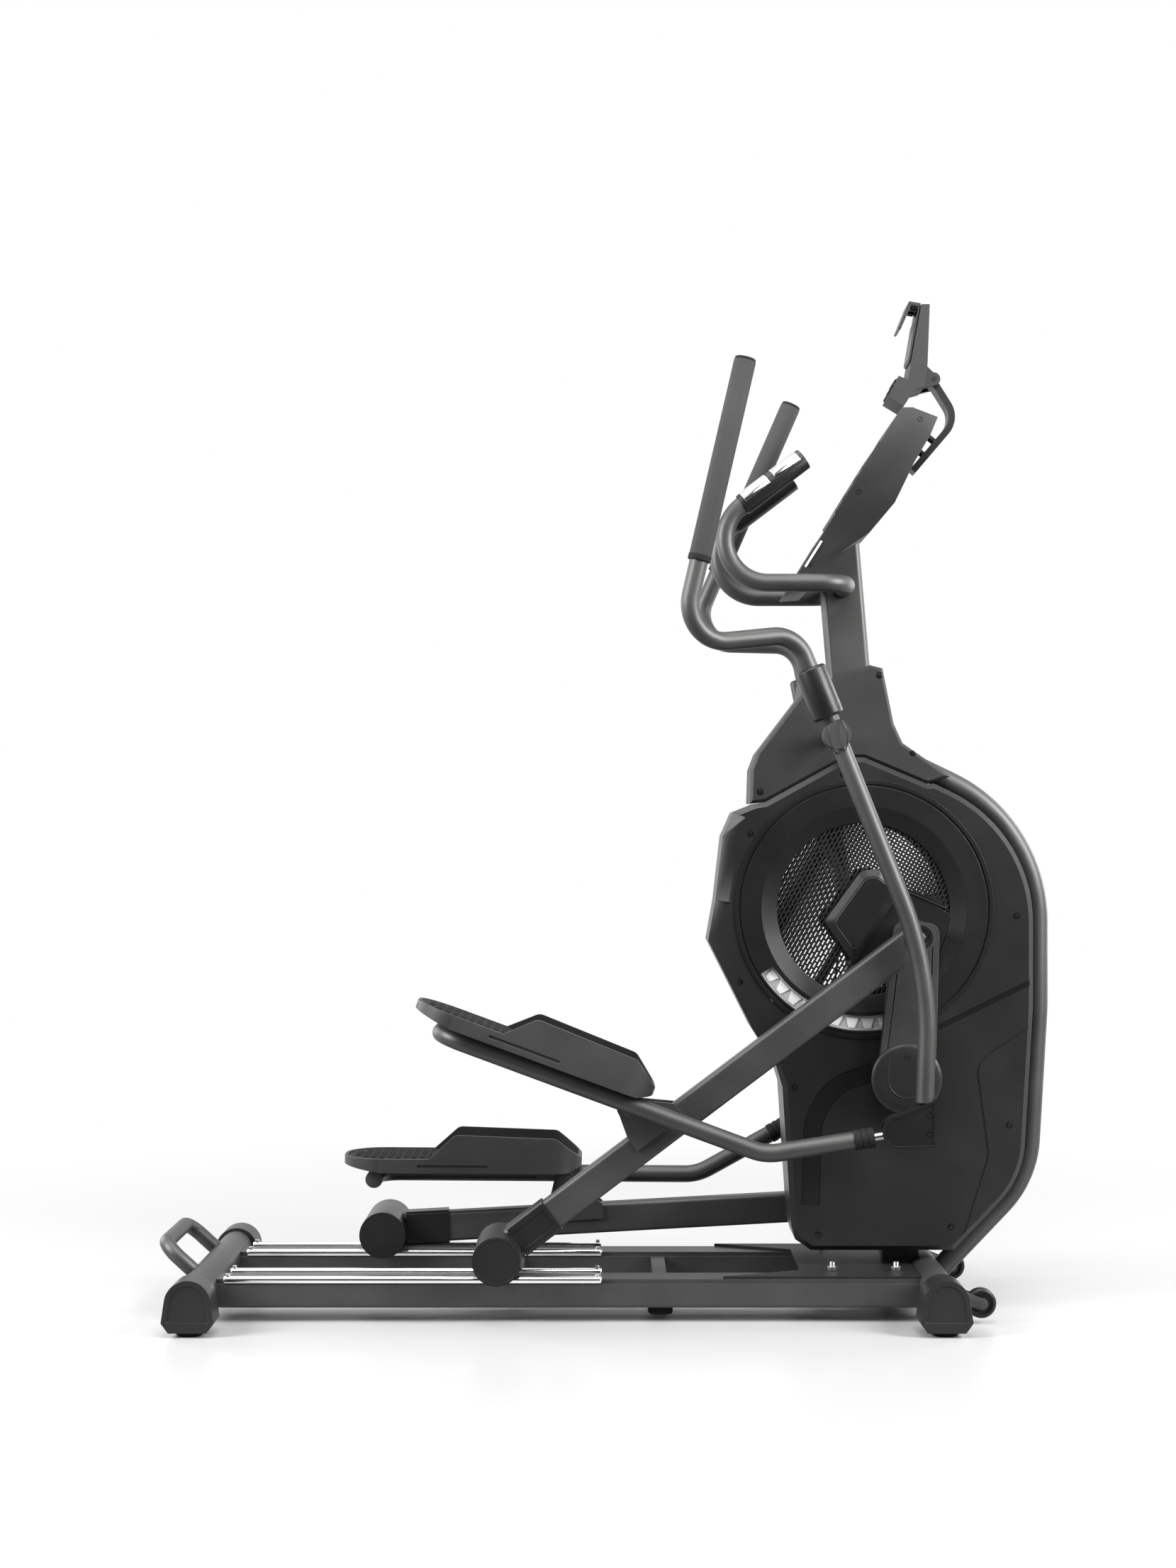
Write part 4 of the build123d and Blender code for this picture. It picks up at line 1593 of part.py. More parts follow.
def build_parts():
    """Every node of the assembly by name."""
    end_cap_rear = make_end_cap(REAR_STABILIZER_X)
    end_cap_front = make_end_cap(FRONT_STABILIZER_X)
    side_cover = make_side_cover()
    neck_cover = make_neck_cover()
    wheel = make_wheel()
    parts = {
        "rear_stabilizer": make_stabilizer(REAR_STABILIZER_X),
        "front_stabilizer": make_front_stabilizer(),
        "stabilizer_end_caps": Compound(
            children=[end_cap_rear, left_of(end_cap_rear), end_cap_front, left_of(end_cap_front)]
        ),
        "floor_feet": make_floor_feet(),
        "base_rails": make_base_rails(),
        "front_base_plate": make_base_plate(),
        "frame_bolts": make_frame_bolts(),
        "carry_handle": make_carry_handle(),
        "track_rods": make_track_rods(),
        "right_transport_wheel": wheel,
        "left_transport_wheel": left_of(wheel),
        "spine_tube": make_spine_tube(),
        "mast": make_mast(),
        "drive_frame": make_drive_frame(),
        "flywheel_axle": make_flywheel_axle(),
        "flywheel": make_flywheel(),
        "drive_belt": make_belt(),
        "brake_shoe": make_brake(),
        "crank_axle": make_crank_axle(),
        "crank_pulley": make_crank_pulley(),
        "crank_arms": make_crank_arms(),
        "crank_caps": make_crank_caps(),
        "right_side_cover": side_cover,
        "left_side_cover": left_of(side_cover),
        "neck_covers": Compound(children=[neck_cover, left_of(neck_cover)]),
        "ring_bezels": make_bezels(),
        "window_inserts": make_window_inserts(),
        "ring_grilles": make_grilles(),
        "hub_covers": make_hub_covers(),
        "cover_screws": make_cover_screws(),
        "console_housing": make_console(),
        "console_screen": make_screen(),
        "pulse_handlebar": make_pulse_handlebar(),
        "pulse_grips": make_pulse_grips(),
        "pulse_plates": make_pulse_plates(),
        "tablet_strap": make_strap(),
        "tablet_holder": make_holder(),
        "tablet_jaw": make_jaw(),
    }
    for name, x in zip(("start_button", "mode_button"), button_places()):
        parts[name] = make_button(x)
    for side, pose in (("right", RIGHT), ("left", LEFT)):
        ramp = at_angle(*pose["roller"], pose["ramp_angle"])
        pedal = at_angle(*pose["hinge"], pose["link_angle"] - LINK_ANGLE)
        swing = at_angle(SWING_X, SWING_Z, pose["swing_angle"])
        pieces = {
            "roller_axle": make_roller_axle(pose["roller"]),
            "rollers": make_rollers(pose["roller"]),
            "ramp_arm": ramp * make_ramp_arm(),
            "roller_housing": ramp * make_roller_housing(),
            "foot_bar": pedal * make_foot_bar(),
            "pedal": pedal * make_pedal(),
            "swing_arm": swing * make_swing_arm(),
            "swing_handlebar": swing * make_handlebar(),
            "swing_grip": swing * make_grip(),
            "pivot_cover": swing * make_pivot_cover(),
        }
        for name, piece in pieces.items():
            parts[f"{side}_{name}"] = piece if side == "right" else left_of(piece)
    return parts


def main():
    os.makedirs("parts", exist_ok=True)
    parts = build_parts()
    for name, shape in parts.items():
        solids = [Pos(-BOX_CENTRE_X, 0, 0) * solid for solid in shape.solids()]
        node = solids[0] if len(solids) == 1 else Compound(children=solids)
        export_step(node, os.path.join("parts", f"{name}.step"))
    print(len(parts), "parts, box centre at", BOX_CENTRE_X)
    for side, pose in (("right", RIGHT), ("left", LEFT)):
        print(side, pose)


if __name__ == "__main__":
    main()
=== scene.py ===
# %% [markdown]
# An elliptical trainer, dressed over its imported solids.
# The solids give every piece its place and size, in metres, with X forward, Y to the user's left and Z up.
# This lesson adds rounded edges, moulded detail and finishes, and leaves every piece where the solids put it.

# %% Load the frame
import bpy
import json
import math
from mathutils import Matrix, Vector


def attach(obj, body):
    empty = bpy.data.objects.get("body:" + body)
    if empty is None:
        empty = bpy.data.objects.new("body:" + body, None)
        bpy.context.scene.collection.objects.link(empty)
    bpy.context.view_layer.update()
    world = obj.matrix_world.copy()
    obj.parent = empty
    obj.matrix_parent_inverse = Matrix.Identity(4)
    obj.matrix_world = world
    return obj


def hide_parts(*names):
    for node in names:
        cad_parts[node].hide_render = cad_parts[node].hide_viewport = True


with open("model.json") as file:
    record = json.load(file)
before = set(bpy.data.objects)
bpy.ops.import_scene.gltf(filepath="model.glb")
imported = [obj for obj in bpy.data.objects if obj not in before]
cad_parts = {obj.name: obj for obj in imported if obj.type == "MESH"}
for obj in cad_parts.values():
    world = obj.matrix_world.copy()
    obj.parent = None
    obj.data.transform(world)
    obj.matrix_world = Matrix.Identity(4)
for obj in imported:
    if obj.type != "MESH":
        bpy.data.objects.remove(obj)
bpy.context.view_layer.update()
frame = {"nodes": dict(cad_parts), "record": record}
bpy.ops.object.select_all(action="DESELECT")

# %% [markdown]
# The camera stands where the photographer stood: level, at the trainer's right side, about four metres away.
# A level camera keeps uprights upright, so the picture's framing is set by the lens shift and not by tilting.

# %% Camera
PHOTO_WIDTH = 1659
PHOTO_HEIGHT = 2212
FOCAL_PIXELS = 3295
AXIS_PIXEL = (850, 1181)
CAMERA_PLACE = (-0.0105, -4.25, 0.848)
SENSOR_HEIGHT = 36
bpy.ops.object.camera_add(location=CAMERA_PLACE, rotation=(math.radians(90), 0, 0))
camera = bpy.context.object
camera.data.sensor_fit = "VERTICAL"
camera.data.sensor_height = SENSOR_HEIGHT
camera.data.lens = SENSOR_HEIGHT * FOCAL_PIXELS / PHOTO_HEIGHT
camera.data.shift_x = (PHOTO_WIDTH / 2 - AXIS_PIXEL[0]) / PHOTO_HEIGHT
camera.data.shift_y = (AXIS_PIXEL[1] - PHOTO_HEIGHT / 2) / PHOTO_HEIGHT
bpy.context.scene.camera = camera
print("lens", round(camera.data.lens, 2), "mm")

# %% [markdown]
# The studio is white all round. The floor is a plain pale sheet that keeps the shadow under the trainer, and
# further out it fades into white, so that no horizon line shows behind the machine. The fade reads the floor's
# own coordinates, so it stays put when the camera walks round.
# White surroundings would flood a dark machine with light. So the floor and the world are white only to the camera and
# to what mirrors them or lets them through, and throw less light on matt surfaces. The lamps give the rest.

# %% Rays that see the studio
bpy.context.scene.view_settings.view_transform = "Standard"


def set_inputs(tree, node, values):
    for name, value in values.items():
        if isinstance(value, bpy.types.NodeSocket):
            tree.links.new(value, node.inputs[name])
        else:
            node.inputs[name].default_value = value
    return node


def add_node(tree, kind, values, **settings):
    node = tree.nodes.new("ShaderNode" + kind)
    for name, value in settings.items():
        setattr(node, name, value)
    return set_inputs(tree, node, values)


def new_tree(name):
    material = bpy.data.materials.new(name)
    material.use_nodes = True
    return material, material.node_tree


def white_when_seen(tree, matt_level, seen_level):
    path = add_node(tree, "LightPath", {}).outputs
    mirrored = add_node(tree, "Math", {0: path["Is Camera Ray"], 1: path["Is Glossy Ray"]}, operation="MAXIMUM")
    seen = add_node(tree, "Math", {0: mirrored.outputs[0], 1: path["Is Transmission Ray"]}, operation="MAXIMUM")
    level = add_node(tree, "MapRange", {"Value": seen.outputs[0], "To Min": matt_level, "To Max": seen_level})
    return level.outputs[0]


print("view transform:", bpy.context.scene.view_settings.view_transform)

# %% Studio floor
FLOOR_SIZE = 16.0
FADE_START = 0.9
FADE_END = 2.4
FLOOR_TONE = 0.38
FLOOR_BOUNCE = 0.15
FLOOR_ROUGH = 0.28
FLOOR_GLOSS = 0.35


def make_studio_floor():
    bpy.ops.mesh.primitive_plane_add(size=FLOOR_SIZE, location=(0, 0, 0))
    floor = bpy.context.object
    floor.name = "studio_floor"
    material, tree = new_tree("studio_floor")
    sheet = set_inputs(tree, tree.nodes["Principled BSDF"], {
        "Roughness": FLOOR_ROUGH, "Specular IOR Level": FLOOR_GLOSS,
        "Base Color": white_when_seen(tree, FLOOR_BOUNCE, FLOOR_TONE)})
    place = add_node(tree, "TexCoord", {})
    reach = add_node(tree, "VectorMath", {0: place.outputs["Object"]}, operation="LENGTH")
    fade = add_node(tree, "MapRange", {"Value": reach.outputs["Value"], "From Min": FADE_START, "From Max": FADE_END},
                    interpolation_type="SMOOTHSTEP")
    white = add_node(tree, "Emission", {"Color": (1, 1, 1, 1), "Strength": white_when_seen(tree, FLOOR_BOUNCE, 1.0)})
    blend = add_node(tree, "MixShader", {
        "Fac": fade.outputs["Result"], 1: sheet.outputs["BSDF"], 2: white.outputs["Emission"]})
    set_inputs(tree, tree.nodes["Material Output"], {"Surface": blend.outputs["Shader"]})
    floor.data.materials.append(material)


make_studio_floor()
print("floor fades to white between", FADE_START, "and", FADE_END, "m")

# %% [markdown]
# Two tall softboxes stand at the machine's ends, so the edges and slopes that look backward or forward are lit and
# the flat sides stay dark, two more behind give the slopes a rim of light, and a wide one hangs above. A small one
# high on the camera's side lights the upper covers more than the lower ones. A dark card stands behind the camera and
# runs forward along the floor, as product photographers use it: the flat black sides then mirror darkness and not the
# white room. Only mirror rays meet it, so it throws no shadow and no view sees it. It is clear from below, so the floor
# doesn't mirror it.

# %% World and lamps
WORLD_FILL = 0.24
CARD_WIDTH = 9.0
CARD_HEIGHT = 4.5
CARD_FAR_Y = -6.5
CARD_NEAR_Y = -0.7


def make_world():
    world = bpy.data.worlds.new("studio_world")
    world.use_nodes = True
    tree = world.node_tree
    background = tree.nodes["Background"]
    background.inputs["Color"].default_value = (1, 1, 1, 1)
    tree.links.new(white_when_seen(tree, WORLD_FILL, 1.0), background.inputs["Strength"])
    bpy.context.scene.world = world


def add_lamp(name, place, target, size, power):
    aim = Vector(target) - Vector(place)
    bpy.ops.object.light_add(type="AREA", location=place, rotation=aim.to_track_quat("-Z", "Y").to_euler())
    lamp = bpy.context.object
    lamp.name = name
    lamp.data.shape = "RECTANGLE"
    lamp.data.size = size[0]
    lamp.data.size_y = size[1]
    lamp.data.energy = power


def add_dark_card():
    bpy.ops.mesh.primitive_plane_add(size=1, location=(0, CARD_FAR_Y, CARD_HEIGHT / 2),
                                     rotation=(math.radians(90), 0, 0))
    card = bpy.context.object
    card.name = "dark_card"
    card.scale = (CARD_WIDTH, CARD_HEIGHT, 1)
    bpy.ops.object.transform_apply(location=True, rotation=True, scale=True)
    for edge in card.data.edges:
        edge.select = all(card.data.vertices[i].co.z < 0.01 for i in edge.vertices)
    for vertex in card.data.vertices:
        vertex.select = vertex.co.z < 0.01
    for face in card.data.polygons:
        face.select = False
    bpy.ops.object.mode_set(mode="EDIT")
    bpy.ops.mesh.select_mode(type="EDGE")
    bpy.ops.mesh.extrude_region_move(TRANSFORM_OT_translate={"value": (0, CARD_NEAR_Y - CARD_FAR_Y, 0.004)})
    bpy.ops.object.mode_set(mode="OBJECT")
    for kind in ("camera", "diffuse", "transmission", "shadow"):
        setattr(card, "visible_" + kind, False)
    material, tree = new_tree("dark_card")
    coat = set_inputs(tree, tree.nodes["Principled BSDF"], {"Base Color": (0.02, 0.02, 0.02, 1), "Roughness": 0.9})
    back = add_node(tree, "NewGeometry", {}).outputs["Backfacing"]
    clear = add_node(tree, "BsdfTransparent", {}).outputs["BSDF"]
    one_sided = add_node(tree, "MixShader", {"Fac": back, 1: clear, 2: coat.outputs["BSDF"]})
    set_inputs(tree, tree.nodes["Material Output"], {"Surface": one_sided.outputs["Shader"]})
    card.data.materials.append(material)


make_world()
add_dark_card()
add_lamp("top_softbox", (-0.1, -0.5, 4.2), (0, 0, 0.4), (3.4, 2.6), 155)
add_lamp("rear_end_softbox", (-3.2, -1.6, 2.2), (0.1, 0, 0.8), (1.4, 2.0), 250)
add_lamp("front_end_softbox", (3.1, -1.7, 2.2), (0.2, 0, 0.8), (1.2, 2.0), 255)
add_lamp("rear_rim_softbox", (-3.0, 1.9, 1.5), (0.1, 0, 0.8), (1.0, 2.2), 65)
add_lamp("front_rim_softbox", (3.0, 1.9, 1.5), (0.2, 0, 0.8), (1.0, 2.2), 65)
add_lamp("key_softbox", (0.4, -2.0, 2.8), (0.35, 0, 0.95), (1.6, 0.8), 42)

# %% [markdown]
# Finishes are procedural. On each one a slow noise varies the tone and the gloss a little, as moulding and paint do,
# and a fine noise gives the grain its height. Both read object coordinates, so the pattern stays on the piece
# when it moves. Most plastics here are nearly black, so their gloss level is set low, or white surroundings
# would lift them to grey.

# %% Finishes
FINISH = {}


def make_finish(name, tone, rough, gloss=0.5, metal=0.0, grain=900.0, depth=0.02, spread=0.12, cloud=9.0,
                rough_spread=0.08):
    FINISH[name], tree = new_tree(name)
    place = add_node(tree, "TexCoord", {}).outputs["Object"]
    clouds = add_node(tree, "TexNoise", {"Vector": place, "Scale": cloud, "Detail": 6.0}).outputs["Fac"]
    grains = add_node(tree, "TexNoise", {"Vector": place, "Scale": grain, "Detail": 3.0}).outputs["Fac"]
    ramp = add_node(tree, "ValToRGB", {"Fac": clouds})
    for end, position, change in zip(ramp.color_ramp.elements, (0.3, 0.7), (1 - spread, 1 + spread)):
        end.position = position
        end.color = (*[min(1, c * change) for c in tone], 1)
    bump = add_node(tree, "Bump", {"Strength": 0.5, "Distance": depth / 100, "Height": grains})
    sheen = add_node(tree, "MapRange", {
        "Value": clouds, "To Min": rough - rough_spread, "To Max": rough + rough_spread})
    set_inputs(tree, tree.nodes["Principled BSDF"], {
        "Metallic": metal, "Specular IOR Level": gloss, "Base Color": ramp.outputs["Color"],
        "Normal": bump.outputs["Normal"], "Roughness": sheen.outputs[0]})


make_finish("frame_paint", (0.060, 0.060, 0.059), 0.48, metal=0.7, grain=500)
make_finish("charcoal_plastic", (0.0120, 0.0120, 0.0122), 0.36, gloss=0.32, grain=1400, depth=0.03)
make_finish("black_plastic", (0.0080, 0.0080, 0.0082), 0.34, gloss=0.3, grain=1400, depth=0.03)
make_finish("satin_black", (0.007, 0.007, 0.0072), 0.28, gloss=0.4, grain=1800, depth=0.01)
make_finish("rubber", (0.009, 0.009, 0.009), 0.75, gloss=0.16, grain=500, depth=0.05)
make_finish("chrome", (0.84, 0.84, 0.85), 0.12, metal=1.0, grain=300, depth=0.0003, spread=0.05, rough_spread=0.04)
make_finish("bright_steel", (0.50, 0.50, 0.51), 0.3, metal=1.0, grain=600)
make_finish("cast_iron", (0.05, 0.05, 0.054), 0.5, metal=0.6, grain=300, depth=0.05)
make_finish("grip_foam", (0.038, 0.038, 0.0375), 0.8, gloss=0.2, grain=300, depth=0.14)
make_finish("silver_plastic", (0.42, 0.42, 0.43), 0.3, grain=1200, depth=0.01)
make_finish("screen_glass", (0.006, 0.006, 0.008), 0.08, grain=50, depth=0.001, rough_spread=0.03)
print("finishes:", len(FINISH))

# %% [markdown]
# Every new piece starts with nothing selected and ends in the same way: its place goes into its mesh, its faces are
# shaded smooth up to an angle, and it gets a finish and a body to ride on. Smooth shading alone would bend the light
# over wide flats, so on flat-sided pieces each face pulls the shading its own way by its area.

# %% Start and end of every new piece
SIDES = (("right", -1), ("left", 1))
SMOOTH_ANGLE = 32
MERGE_GAP = 0.00002


def leave_edit():
    bpy.ops.object.mode_set(mode="OBJECT")


def start_piece():
    if bpy.context.mode != "OBJECT":
        leave_edit()
    bpy.ops.object.select_all(action="DESELECT")


def select_only(piece):
    start_piece()
    piece.select_set(True)
    bpy.context.view_layer.objects.active = piece


def enter_edit():
    bpy.ops.object.mode_set(mode="EDIT")


def pick_kind(kind):
    bpy.ops.mesh.select_mode(type=kind)


def pick_all(action="SELECT"):
    bpy.ops.mesh.select_all(action=action)


def edit_all(piece):
    select_only(piece)
    enter_edit()
    pick_all()


def apply_modifiers(piece):
    select_only(piece)
    for modifier in list(piece.modifiers):
        bpy.ops.object.modifier_apply(modifier=modifier.name)


def fix_place(piece):
    select_only(piece)
    bpy.ops.object.transform_apply(location=True, rotation=True, scale=True)
    return piece


def lay(piece, place, turn):
    piece.rotation_euler = turn
    piece.location = place
    return fix_place(piece)


def face_outward(piece):
    edit_all(piece)
    bpy.ops.mesh.normals_make_consistent(inside=False)
    leave_edit()
    return piece


def end_piece(piece, name, body, slot, finish=None, angle=SMOOTH_ANGLE):
    fix_place(piece)
    shade(piece, True, angle)
    piece.name = name
    piece.data.name = name
    piece.data.materials.clear()
    piece.data.materials.append(finish or FINISH[slot])
    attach(piece, body)
    print(name, "faces:", len(piece.data.polygons))
    return piece


def shade(piece, flat, angle=SMOOTH_ANGLE):
    select_only(piece)
    bpy.ops.object.shade_smooth_by_angle(angle=math.radians(angle))
    if flat:
        piece.modifiers.new("flats", "WEIGHTED_NORMAL").keep_sharp = True
        apply_modifiers(piece)


def joined(pieces):
    start_piece()
    for piece in pieces:
        piece.select_set(True)
    bpy.context.view_layer.objects.active = pieces[0]
    bpy.ops.object.join()
    bpy.ops.object.transform_apply(location=True, rotation=True, scale=True)
    return bpy.context.object


def copy_of(piece):
    twin = piece.copy()
    twin.data = piece.data.copy()
    bpy.context.collection.objects.link(twin)
    return twin


def pick_faces(piece, test):
    select_only(piece)
    for part in (*piece.data.polygons, *piece.data.edges, *piece.data.vertices):
        part.select = False
    for face in piece.data.polygons:
        face.select = bool(test(face))
    enter_edit()
    pick_kind("FACE")


def pick_edges(piece, test):
    edit_all(piece)
    pick_kind("EDGE")
    pick_all("DESELECT")
    leave_edit()
    for edge in piece.data.edges:
        edge.select = test(*[piece.data.vertices[i].co for i in edge.vertices])
    enter_edit()


def pull_up(height):
    bpy.ops.mesh.extrude_region_move(TRANSFORM_OT_translate={"value": (0, 0, height)})

# %% [markdown]
# A few short habits serve all the small pieces below. A box, sheet, drum or ring is added at its size and place, its
# edges are softened, a plane cuts it, picked faces are drawn in and sunk, and a finished piece is copied to the left.

# %% Habits for small pieces
def add_box(place, size):
    start_piece()
    bpy.ops.mesh.primitive_cube_add(size=1, location=place)
    piece = bpy.context.object
    piece.scale = size
    bpy.ops.object.transform_apply(location=True, rotation=False, scale=True)
    return piece


def add_sheet(place, size, turn=(0, 0, 0)):
    start_piece()
    bpy.ops.mesh.primitive_plane_add(size=1, location=place, rotation=turn)
    piece = bpy.context.object
    piece.scale = (*size, 1)
    return fix_place(piece)


def add_rod(start, end, radius, sides=40):
    start_piece()
    run = Vector(end) - Vector(start)
    turn = run.to_track_quat("Z", "Y").to_euler()
    middle = (Vector(start) + Vector(end)) / 2
    bpy.ops.mesh.primitive_cylinder_add(vertices=sides, radius=radius, depth=run.length, location=middle, rotation=turn)
    bpy.ops.object.transform_apply(location=True, rotation=True, scale=False)
    return bpy.context.object


def add_ring(place, radius, thick, steps, turn=(0, 0, 0)):
    start_piece()
    bpy.ops.mesh.primitive_torus_add(location=place, rotation=turn, major_radius=radius, minor_radius=thick,
                                     major_segments=steps[0], minor_segments=steps[1])
    return fix_place(bpy.context.object)


def soften(piece, width, segments=2, angle=30):
    select_only(piece)
    edge = piece.modifiers.new("edge", "BEVEL")
    edge.width = width
    edge.segments = segments
    edge.limit_method = "ANGLE"
    edge.angle_limit = math.radians(angle)
    apply_modifiers(piece)
    return piece


def cut(piece, place, normal, **options):
    edit_all(piece)
    bpy.ops.mesh.bisect(plane_co=place, plane_no=normal, **options)
    leave_edit()
    return piece


def sink(piece, test, margin, depth):
    pick_faces(piece, test)
    bpy.ops.mesh.inset(thickness=margin)
    bpy.ops.mesh.inset(thickness=abs(depth) * 0.3, depth=-depth)
    leave_edit()
    return piece


def facing(*direction):
    aim = Vector(direction).normalized()
    return lambda face: face.normal.dot(aim) > 0.95


def to_left(piece):
    twin = copy_of(piece)
    twin.scale = (1, -1, 1)
    return face_outward(fix_place(twin))

# %% [markdown]
# The arms lean differently on the two sides. Each piece on an arm is modelled once, on the right, as if its arm lay
# level with the arm's own pivot at the origin. The copies are then turned and carried to where the arms rest.

# %% Rest places of the arms
REST = {
    "right": {
        "ramp": (-0.194079, 0.1136, 37.012), "link": (0.035273, 0.374171, -20.278), "swing": (0.3968, 1.025, 9.167)},
    "left": {
        "ramp": (-0.416355, 0.1136, 3.119), "link": (-0.080668, 0.201998, -0.387), "swing": (0.3968, 1.025, -1.510)},
}


def end_pair(piece, name, arm, node, slot, finish=None):
    for side, one in (("left", to_left(piece)), ("right", piece)):
        x, z, angle = REST[side][arm]
        one.location = (x, 0, z)
        one.rotation_euler = (0, -math.radians(angle), 0)
        end_piece(one, side + "_" + name, BODY_OF[side + "_" + node], slot, finish)


def on_arm(point, side, arm):
    x, z, angle = REST[side][arm]
    turn = math.radians(angle)
    along = (point.x - x) * math.cos(turn) + (point.z - z) * math.sin(turn)
    across = (point.z - z) * math.cos(turn) - (point.x - x) * math.sin(turn)
    return along, across


def end_both(piece, name, body, slot, finish=None):
    end_piece(to_left(piece), "left_" + name, body, slot, finish)
    end_piece(piece, "right_" + name, body, slot, finish)


def replace_both(node):
    for side, _ in SIDES:
        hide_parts(node)


print("arms:", len(REST["right"]), "a side")

# %% [markdown]
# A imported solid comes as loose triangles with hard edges. A copy is merged, its flat faces are joined again,
# and a narrow bevel rounds the edges, because a real edge always catches a thin line of light.

# %% Dress every solid
SLOTS = {row["node"]: row["material_slot"] for row in frame["record"]["subparts"]}
BODY_OF = {node: body for body, members in frame["record"]["behaviour"]["bodies"].items() for node in members}
PLAIN_ROUND = 0.0012
FLAT_ANGLE = 0.8
EDGE_ROUND = {
    "cover_screws": 0.0005, "frame_bolts": 0.0005, "right_pedal": 0.002, "left_pedal": 0.002, "neck_covers": 0.002,
    "stabilizer_end_caps": 0.0013, "crank_arms": 0.0024, "tablet_holder": 0.002, "tablet_jaw": 0.0015,
}
FLAT_SIDED = {
    "right_side_cover", "left_side_cover", "neck_covers", "right_pedal", "left_pedal",
    "tablet_holder", "tablet_jaw", "stabilizer_end_caps", "crank_arms", "base_rails", "front_base_plate",
    "right_ramp_arm", "left_ramp_arm", "mast", "right_swing_arm", "left_swing_arm", "tablet_strap",
    "right_roller_housing", "left_roller_housing",
}
MADE_HERE = {"ring_grilles", "window_inserts", "ring_bezels", "hub_covers", "crank_caps"}


def dress(node, round_by):
    piece = bpy.data.objects.new(node + "_dressed", frame["nodes"][node].data.copy())
    bpy.context.collection.objects.link(piece)
    edit_all(piece)
    bpy.ops.mesh.remove_doubles(threshold=MERGE_GAP)
    bpy.ops.mesh.dissolve_limited(angle_limit=math.radians(FLAT_ANGLE))
    leave_edit()
    soften(piece, round_by, angle=SMOOTH_ANGLE)
    shade(piece, node in FLAT_SIDED)
    piece.data.materials.clear()
    piece.data.materials.append(FINISH[SLOTS[node]])
    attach(piece, BODY_OF[node])
    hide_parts(node)
    return piece


dressed = {}
for node in sorted(set(frame["nodes"]) - MADE_HERE):
    dressed[node] = dress(node, EDGE_ROUND.get(node, PLAIN_ROUND))
print("dressed:", len(dressed), "faces:", sum(len(p.data.polygons) for p in dressed.values()))

# %% [markdown]
# The console's flanks stand upright above and taper in below, and the solid has a crease between both. On the machine
# the flank rolls over softly. So the dressed copy is cut across at close heights, and the flank's new points are drawn
# in to a curve that starts on the taper and ends on the upright.

# %% Ease the console's flanks
FLANK_HALF = 0.160
FLANK_CREASE_Z = 1.480
FLANK_SLOPE = 0.4305
EASE_REACH = 0.075
EASE_CUTS = 15


def ease_flanks(piece):
    for i in range(EASE_CUTS):
        height = FLANK_CREASE_Z - EASE_REACH + 2 * EASE_REACH * (i + 0.5) / EASE_CUTS
        cut(piece, (0, 0, height), (0, 0, 1))
    for vertex in piece.data.vertices:
        rise = vertex.co.z - FLANK_CREASE_Z
        if abs(rise) < EASE_REACH:
            creased = FLANK_HALF + FLANK_SLOPE * min(0, rise)
            curved = FLANK_HALF - FLANK_SLOPE * (EASE_REACH - rise) ** 2 / (4 * EASE_REACH)
            if abs(vertex.co.y) > 0.75 * creased:
                vertex.co.y *= curved / creased
    shade(piece, False)


ease_flanks(dressed["console_housing"])
print("console faces:", len(dressed["console_housing"].data.polygons))

# %% [markdown]
# The perforated ring: a thin sheet with staggered slots, set inside the bezel on both sides, so that light passes.
# It could be cut with hundreds of booleans, but one cell with one slot, repeated by two arrays, is clean and quick.
# Bricks in a bond share corners when each has a point in the middle of its long sides, so the sheet stays one mesh.

# %% One cell of the perforated sheet
SLOT_PITCH = 0.0125
ROW_PITCH = 0.0066
SLOT_WEB = 0.0017
MESH_RADIUS = 0.166
MESH_THICKNESS = 0.0014
RING_CENTRE = Vector((0.4575, 0, 0.719))
MESH_FACE_Y = 0.0590


def make_sheet_cell():
    cell = add_sheet((0, 0, 0), (SLOT_PITCH, ROW_PITCH))
    pick_edges(cell, lambda start, end: abs(start.y - end.y) < 1e-6)
    bpy.ops.mesh.subdivide(number_cuts=1)
    pick_all()
    pick_kind("FACE")
    bpy.ops.mesh.inset(thickness=SLOT_WEB)
    bpy.ops.mesh.delete(type="FACE")
    leave_edit()
    return cell


sheet_cell = make_sheet_cell()
print("cell:", len(sheet_cell.data.vertices), "points")

# %% Repeat the cell and trim it round
def repeat(piece, count, step):
    row = piece.modifiers.new("row", "ARRAY")
    row.count = count
    row.use_relative_offset = False
    row.use_constant_offset = True
    row.constant_offset_displace = step
    apply_modifiers(piece)
    piece.location = Vector(step) * (-count / 2)
    bpy.ops.object.transform_apply(location=True, rotation=False, scale=False)


def spread_cells(cell):
    repeat(cell, int(2 * MESH_RADIUS / SLOT_PITCH) + 2, (SLOT_PITCH, 0, 0))
    second = copy_of(cell)
    second.location = (SLOT_PITCH / 2, ROW_PITCH, 0)
    pair = joined([cell, second])
    repeat(pair, int(MESH_RADIUS / ROW_PITCH) + 2, (0, 2 * ROW_PITCH, 0))
    return pair


def trim_round(sheet):
    edit_all(sheet)
    bpy.ops.mesh.remove_doubles(threshold=0.0001)
    pick_faces(sheet, lambda face: Vector(face.center).length > MESH_RADIUS)
    bpy.ops.mesh.delete(type="FACE")
    leave_edit()


sheet = spread_cells(sheet_cell)
trim_round(sheet)
print("slotted sheet:", len(sheet.data.polygons), "faces")

# %% Stand the sheet up in each ring
SLOT_ANGLE = 60


